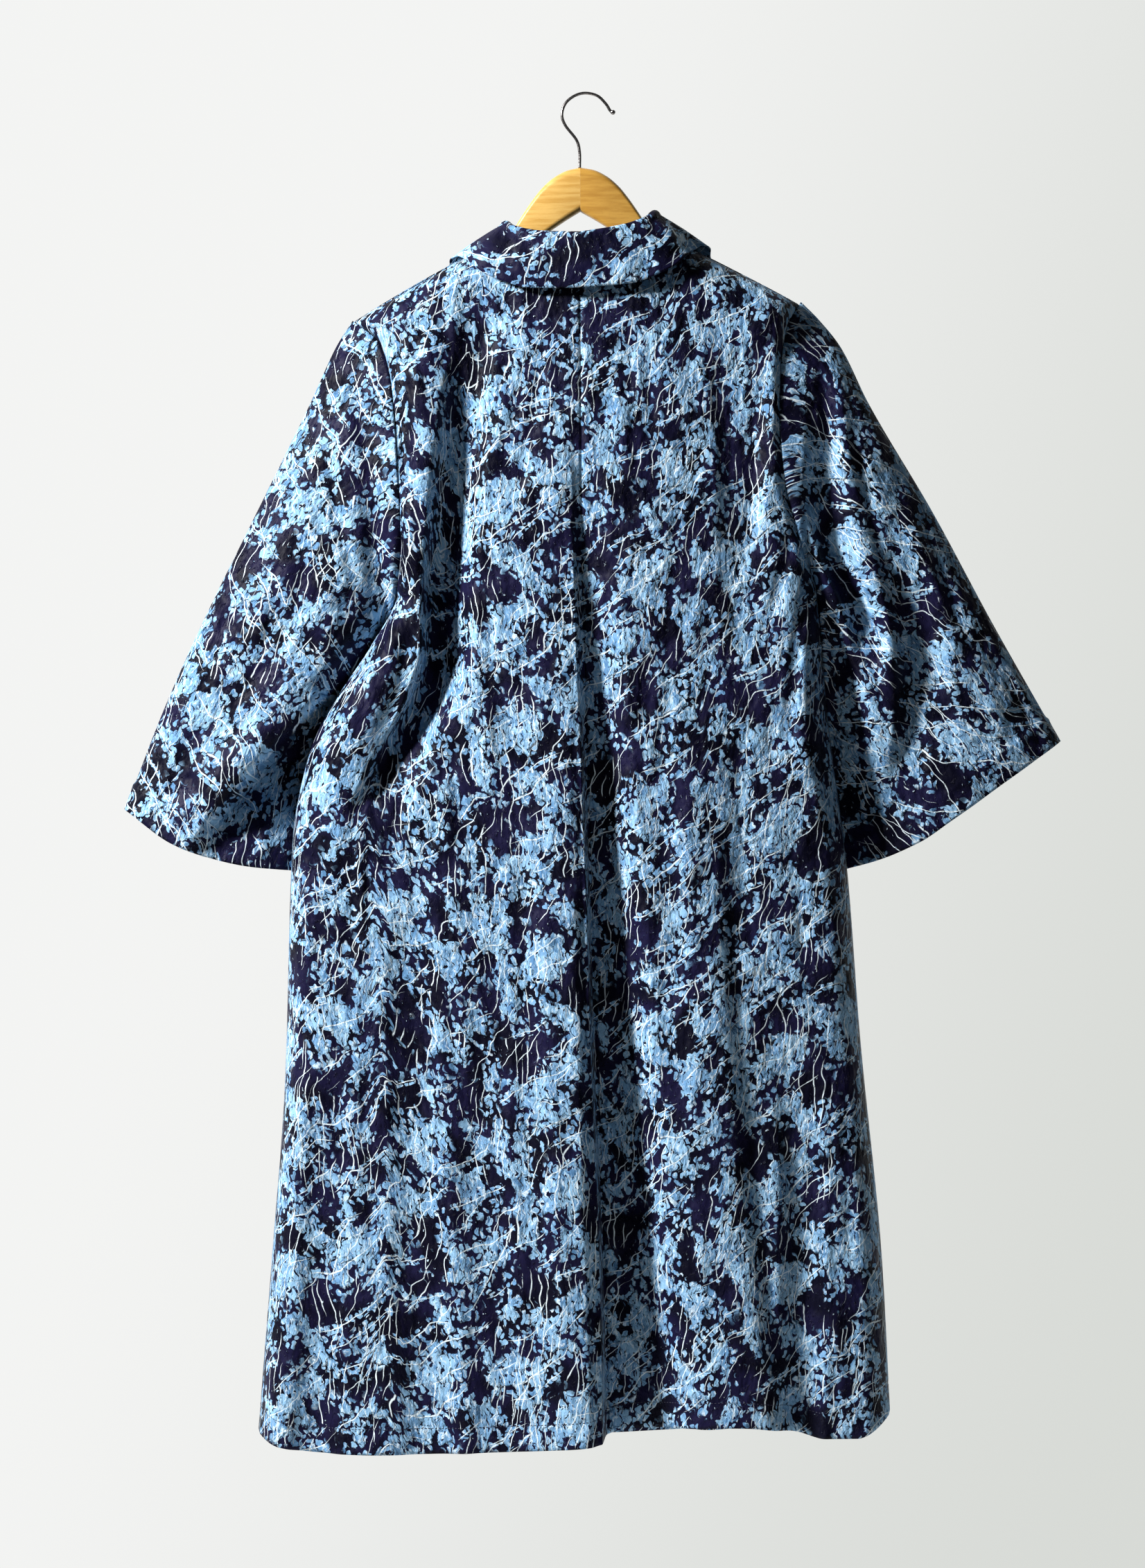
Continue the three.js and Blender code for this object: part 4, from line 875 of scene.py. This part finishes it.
def collar_grid(steps, across):
    """Sections from the front end on the left, round the back of the neck, to the front end on the right."""
    sections = []
    for share in np.linspace(-1, 1, 2 * steps + 1):
        p, side = abs(share), -1 if share < 0 else 1
        seam_x, roll_x, roll_y, roll_z, fall_x, edge_z, off = (float(track(collar_rows, k)(p)) for k in range(1, 8))
        face = "back" if p < 0.49 else "front"

        def outside(x, z):
            x, z = np.array(float(x)), np.array(float(z))
            return float(body_y(face, x, z, fine=False) + (lift_right(x) if face == "front" and side > 0 else 0))

        sx = middle + side * seam_x
        sz = float(top_z(face, np.array(sx)))
        rise = float(top_z(face, np.array(sx + 0.5)) - top_z(face, np.array(sx - 0.5)))
        foot = np.array([sx, outside(sx, sz), sz]) + seam_gap * np.array([-rise, 0, 1]) / math.hypot(rise, 1)
        ex, ez = middle + side * fall_x, edge_z + edge_lean * side * fall_x
        edge = np.array([ex, outside(ex, ez) + float(mix(-1, 1, smooth((p - 0.4) / 0.16))) * off, ez])
        roll = np.array([middle + side * roll_x, roll_y, roll_z + roll_lean * side * roll_x])
        out = np.array([edge[0] - foot[0], edge[1] - foot[1], 0])
        out /= np.linalg.norm(out)
        foot -= out * cloth_thick
        up = np.array([0, 0, 1])
        stand, fall = roll - out * roll_radius - up * roll_radius, roll + out * roll_radius - up * roll_radius
        points = [mix(foot, stand, t) for t in np.linspace(0, 1, across)[:-1]]
        for turn in np.linspace(math.pi, 0, 9):
            points.append(roll + roll_radius * (out * math.cos(turn) + up * (math.sin(turn) - 1)))
        for t in np.linspace(0, 1, across + 8)[1:]:
            q = mix(fall, edge, t) + out * fall_bow * math.sin(math.pi * t) ** 1.2
            rest = outside(q[0], q[2]) + (-fall_rest if face == "back" else fall_rest)
            if q[2] < float(top_z(face, np.array(q[0]))) + 1:
                q[1] = min(q[1], rest) if face == "back" else max(q[1], rest)
            points.append(q)
        sections.append(points)
    grid = np.array(sections)
    u = np.linspace(-420, 420, len(grid))[:, None] * np.ones(grid.shape[1])
    v = np.cumsum(np.concatenate([np.zeros((len(grid), 1)), np.linalg.norm(np.diff(grid, axis=1), axis=2)], 1), 1)
    wave = 0.9 * crinkle(u, v * 1.4, 26, 14) + 0.5 * crinkle(u, v, 11, 15)
    loose = smooth((v - 44) / 20)  # the stand and the roll stay smooth
    grid[..., 1] += np.where(grid[..., 1] < 5, -1, 1) * wave * loose
    return grid, v


collar, collar_down = collar_grid(70, 12)
spine = np.r_[0, np.cumsum(np.linalg.norm(np.diff(collar[:, 16], axis=0), axis=1))]
spine -= spine[-1] / 2
collar_figure = (0.031, 0.055)
collar_uv = np.stack([spine[:, None] + 0 * collar_down, -collar_down], -1) * mm + collar_figure
sew("collar", collar, collar_uv, hemmed=False)

# ---------------------------------------------------------------- hanger arms
# Two halves of varnished beech, shaped to the shoulders and joined at the centre. They sweep forward towards the
# tips, and the upper edge is rounded over.

# out from the centre, upper z, lower z, width
arm_rows = [
    (0, -65.8, -106, 15), (12, -68.2, -113, 14.6), (24, -74.2, -120.6, 14), (35, -83.6, -127.6, 13),
    (43, -93.4, -132.8, 12.4), (50.5, -104, -137.7, 11.8), (57, -114, -142, 11.2), (64, -126.5, -146.6, 10.8),
    (74, -139, -153, 10), (84, -145, -159.4, 9.6), (100, -150.4, -168.6, 9.5), (140, -167.4, -190, 9.9),
    (180, -188.6, -210, 9.2), (194, -198, -214, 6),
]
arm_joint = 0.04  # gap between the two halves


def ring_faces(rings, around):
    """Quads along a tube of rings of points, with a flat face over each end."""
    faces = [
        (r * around + k, r * around + (k + 1) % around, (r + 1) * around + (k + 1) % around, (r + 1) * around + k)
        for r in range(rings - 1) for k in range(around)
    ]
    return faces + [tuple(range(around))[::-1], tuple((rings - 1) * around + k for k in range(around))]


def hanger_arm(side, name, around=36, steps=90):
    top, under, wide = (track(arm_rows, k) for k in (1, 2, 3))
    out = arm_joint / 2 + (arm_rows[-1][0] - arm_joint / 2) * np.linspace(0, 1, steps + 1)
    turn = np.arange(around) / around * 2 * math.pi
    c, s = np.cos(turn)[None, :], np.sin(turn)[None, :]
    half = wide(out)[:, None] / 2
    tip = bulge((arm_rows[-1][0] - out) / 5)[:, None] * 0.96 + 0.04
    tilt = (lean * side * out)[:, None]
    high, low = top(out)[:, None] + tilt, under(out)[:, None] + tilt
    centre = (high + low) / 2
    x = (middle + side * out)[:, None] + 0 * c
    y = middle_y(x) + half * tip * np.sign(c) * np.abs(c) ** 0.7
    z = np.where(s > 0, high - half * (1 - s), low + half * (1 + s))
    z = centre + (z - centre) * tip
    faces = ring_faces(steps + 1, around)
    if side < 0:
        faces = [f[::-1] for f in faces]
    arm = new_piece(name, np.stack([x, y, z], -1).reshape(-1, 3) * mm, [], faces)
    arm.data.polygons.foreach_set("use_smooth", [len(f) == 4 for f in faces])
    arm.data.set_sharp_from_angle(angle=math.radians(50))
    return arm


def varnished_beech(name, light, dark, turn):
    """Straight pale grain with fine pores under a clear varnish."""
    wood = bpy.data.materials.new(name)
    s = Shader(wood)
    at = s.add("ShaderNodeTexCoord").outputs["Object"]
    turned = s.add("ShaderNodeMapping", Vector=at, Scale=(9, 60, 95), Rotation=(0, turn, 0)).outputs[0]
    rings = s.noise(turned, 3.0, 4, 0.55, noise_dimensions="3D")
    pores = s.noise(s.scaled(turned, (4, 9, 14)), 6.0, 2, 0.5, noise_dimensions="3D")
    colour = s.blend(s.ramp(rings, 0.34, 0.68), light, dark)
    pore = (dark[0] * 0.55, dark[1] * 0.45, dark[2] * 0.4, 1)
    colour = s.blend(s.math("MULTIPLY", s.ramp(pores, 0.60, 0.72), 0.35), colour, pore)
    s.feed(s.surface, "Base Color", colour)
    s.bump(rings, 0.0003, 0.4)
    s.feed(s.surface, "Roughness", s.ramp(pores, 0.3, 0.7, 0.30, 0.42))
    s.constants(Coat_Weight=0.35, Coat_Roughness=0.16)
    return wood


# The right half's light and dark tones are both darker than the left half's: painted shade, as the light falls from
# the left
for side, half, light, dark, turn in (
    (-1, "left", (0.70, 0.43, 0.120, 1), (0.57, 0.31, 0.065, 1), 0.50),
    (1, "right", (0.62, 0.335, 0.062, 1), (0.48, 0.235, 0.035, 1), -0.50),
):
    arm = hanger_arm(side, f"hanger_{half}_wood")
    arm.data.materials.append(varnished_beech(f"beech_{half}", light, dark, turn))
    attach(arm, "root")
    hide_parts(f"hanger_arm_{half}")

# ---------------------------------------------------------------- hanger hook
# One length of bright steel wire, which stands on the wood at its foot and is bent over to hang on a rail. Its tip
# is turned outwards and finished with a small round bead.

wire_radius = 1.4
bead_radius = 2.3
# x, z
hook_line = [
    (-5.5, -66.5), (-5.6, -52), (-8.4, -41), (-18.6, -27.5), (-21.6, -17.5), (-18.2, -7.4), (-9.8, -0.6),
    (0, 1.7), (10.8, -0.9), (18.4, -8.2), (22.6, -14.6), (27, -16.2),
]


def bent_wire(name, line, around=16):
    """Round wire along a smooth line in the XZ plane, with a bead on its last end."""
    path = np.array(line, float)
    reach = np.r_[0, np.cumsum(np.hypot(*np.diff(path, axis=0).T))]
    over_bead = bead_radius * (1 + np.cos(np.linspace(0, math.pi, 13)))
    fine = np.r_[np.linspace(0, reach[-1] - 2 * bead_radius, 150)[:-1], reach[-1] - over_bead]
    left = reach[-1] - fine
    ball = np.sqrt(np.maximum(0.01, bead_radius**2 - (left - bead_radius) ** 2))
    radius = np.where(left > bead_radius, np.maximum(ball, wire_radius), ball)[:, None]
    ghost = np.vstack([2 * path[0] - path[1], path, 2 * path[-1] - path[-2]])
    k = np.clip(np.searchsorted(reach, fine) - 1, 0, len(path) - 2)
    t = ((fine - reach[k]) / (reach[k + 1] - reach[k]))[:, None]
    a, b, c, d = ghost[k], ghost[k + 1], ghost[k + 2], ghost[k + 3]
    centre = 0.5 * (2 * b + (c - a) * t + (2 * a - 5 * b + 4 * c - d) * t**2 + (3 * b - a - 3 * c + d) * t**3)
    along = np.gradient(centre, axis=0)
    along /= np.linalg.norm(along, axis=1, keepdims=True)
    turn = np.arange(around) / around * 2 * math.pi
    x = centre[:, :1] - along[:, 1:] * radius * np.cos(turn)
    z = centre[:, 1:] + along[:, :1] * radius * np.cos(turn)
    y = 0 * centre[:, :1] + radius * np.sin(turn)
    faces = [f[:1] + f[:0:-1] for f in ring_faces(len(fine), around)]
    wire = new_piece(name, np.stack([x, y, z], -1).reshape(-1, 3) * mm, [], faces)
    wire.data.polygons.foreach_set("use_smooth", [len(f) == 4 for f in faces])
    return wire


def bright_steel():
    """Polished wire, dulled a little in small random patches."""
    steel = bpy.data.materials.new("bright_steel")
    s = Shader(steel)
    at = s.add("ShaderNodeTexCoord").outputs["Object"]
    rub = s.noise(at, 900, 2, 0.5, noise_dimensions="3D")
    s.feed(s.surface, "Base Color", s.blend(s.ramp(rub, 0.4, 0.7), (0.30, 0.28, 0.27, 1), (0.42, 0.40, 0.39, 1)))
    s.feed(s.surface, "Roughness", s.ramp(rub, 0.3, 0.7, 0.16, 0.28))
    s.constants(Metallic=1.0)
    return steel


hook = bent_wire("hanger_hook_wire", hook_line)
hook.data.materials.append(bright_steel())
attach(hook, "root")
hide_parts("hanger_hook")

# ---------------------------------------------------------------- studio
# A pale round floor well below the hem, a soft light from the upper left with a weak one to fill in, and a level
# camera that looks square at the coat's back.

floor_radius, floor_z = 1.3, -1.80
round_way = np.arange(96) / 96 * 2 * math.pi
rim = np.stack([floor_radius * np.cos(round_way), floor_radius * np.sin(round_way), floor_z + 0 * round_way], -1)
floor = new_piece("floor", rim, [], [tuple(range(96))])
pale_floor = bpy.data.materials.new("pale_floor")
Shader(pale_floor).constants(Base_Color=(0.80, 0.80, 0.79, 1), Roughness=0.85)
floor.data.materials.append(pale_floor)
floor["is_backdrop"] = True

scene = bpy.context.scene
scene.world = bpy.data.worlds.new("pale_room")
room = Shader(scene.world)
backdrop = room.tree.nodes["Background"]
# The backdrop that the camera sees is painted lighter towards the upper left and darker to the right, as the light
# from the left would fall on a wall. Other rays meet a dim glow in front and that painted wall behind.
way = room.add("ShaderNodeSeparateXYZ", Vector=room.add("ShaderNodeTexCoord").outputs["Generated"])
behind = room.ramp(way.outputs[1], -0.05, 0.45)
sideways = room.math("MULTIPLY_ADD", way.outputs[2], -0.35, way.outputs[0])
wall = room.blend(room.ramp(sideways, -0.10, 0.20), (0.90, 0.905, 0.895, 1), (0.68, 0.70, 0.67, 1))
glow = room.blend(behind, (0.026, 0.027, 0.029, 1), wall)
room.feed(backdrop, "Color", room.blend(room.add("ShaderNodeLightPath").outputs["Is Camera Ray"], glow, wall))


def soft_light(name, place, aim, wide, watts):
    data = bpy.data.lights.new(name, "AREA")
    data.shape = "DISK"
    data.size = wide
    data.energy = watts
    light = bpy.data.objects.new(name, data)
    light.location = place
    light.rotation_euler = (Vector(aim) - Vector(place)).to_track_quat("-Z", "Y").to_euler()
    scene.collection.objects.link(light)


soft_light("key", (-2.4, -1.32, 0.9), (0.0, 0, -0.62), 0.5, 234)
soft_light("front_fill", (0.6, -3.6, -0.1), (0, 0, -0.65), 2.0, 2.4)

camera_data = bpy.data.cameras.new("camera")
camera_data.sensor_fit = "VERTICAL"
camera_data.sensor_height = 36
camera_data.lens = 101
camera_data.clip_end = 50
camera = bpy.data.objects.new("camera", camera_data)
camera.location = (-0.012, -4.0, -0.6265)
camera.rotation_euler = (math.radians(90), 0, 0)
scene.collection.objects.link(camera)
scene.camera = camera
scene.view_settings.view_transform = "Standard"

boxes = {"cad": cad_box, "visual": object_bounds()}
{key: [list(map(float, corner)) for corner in box] for key, box in boxes.items()}
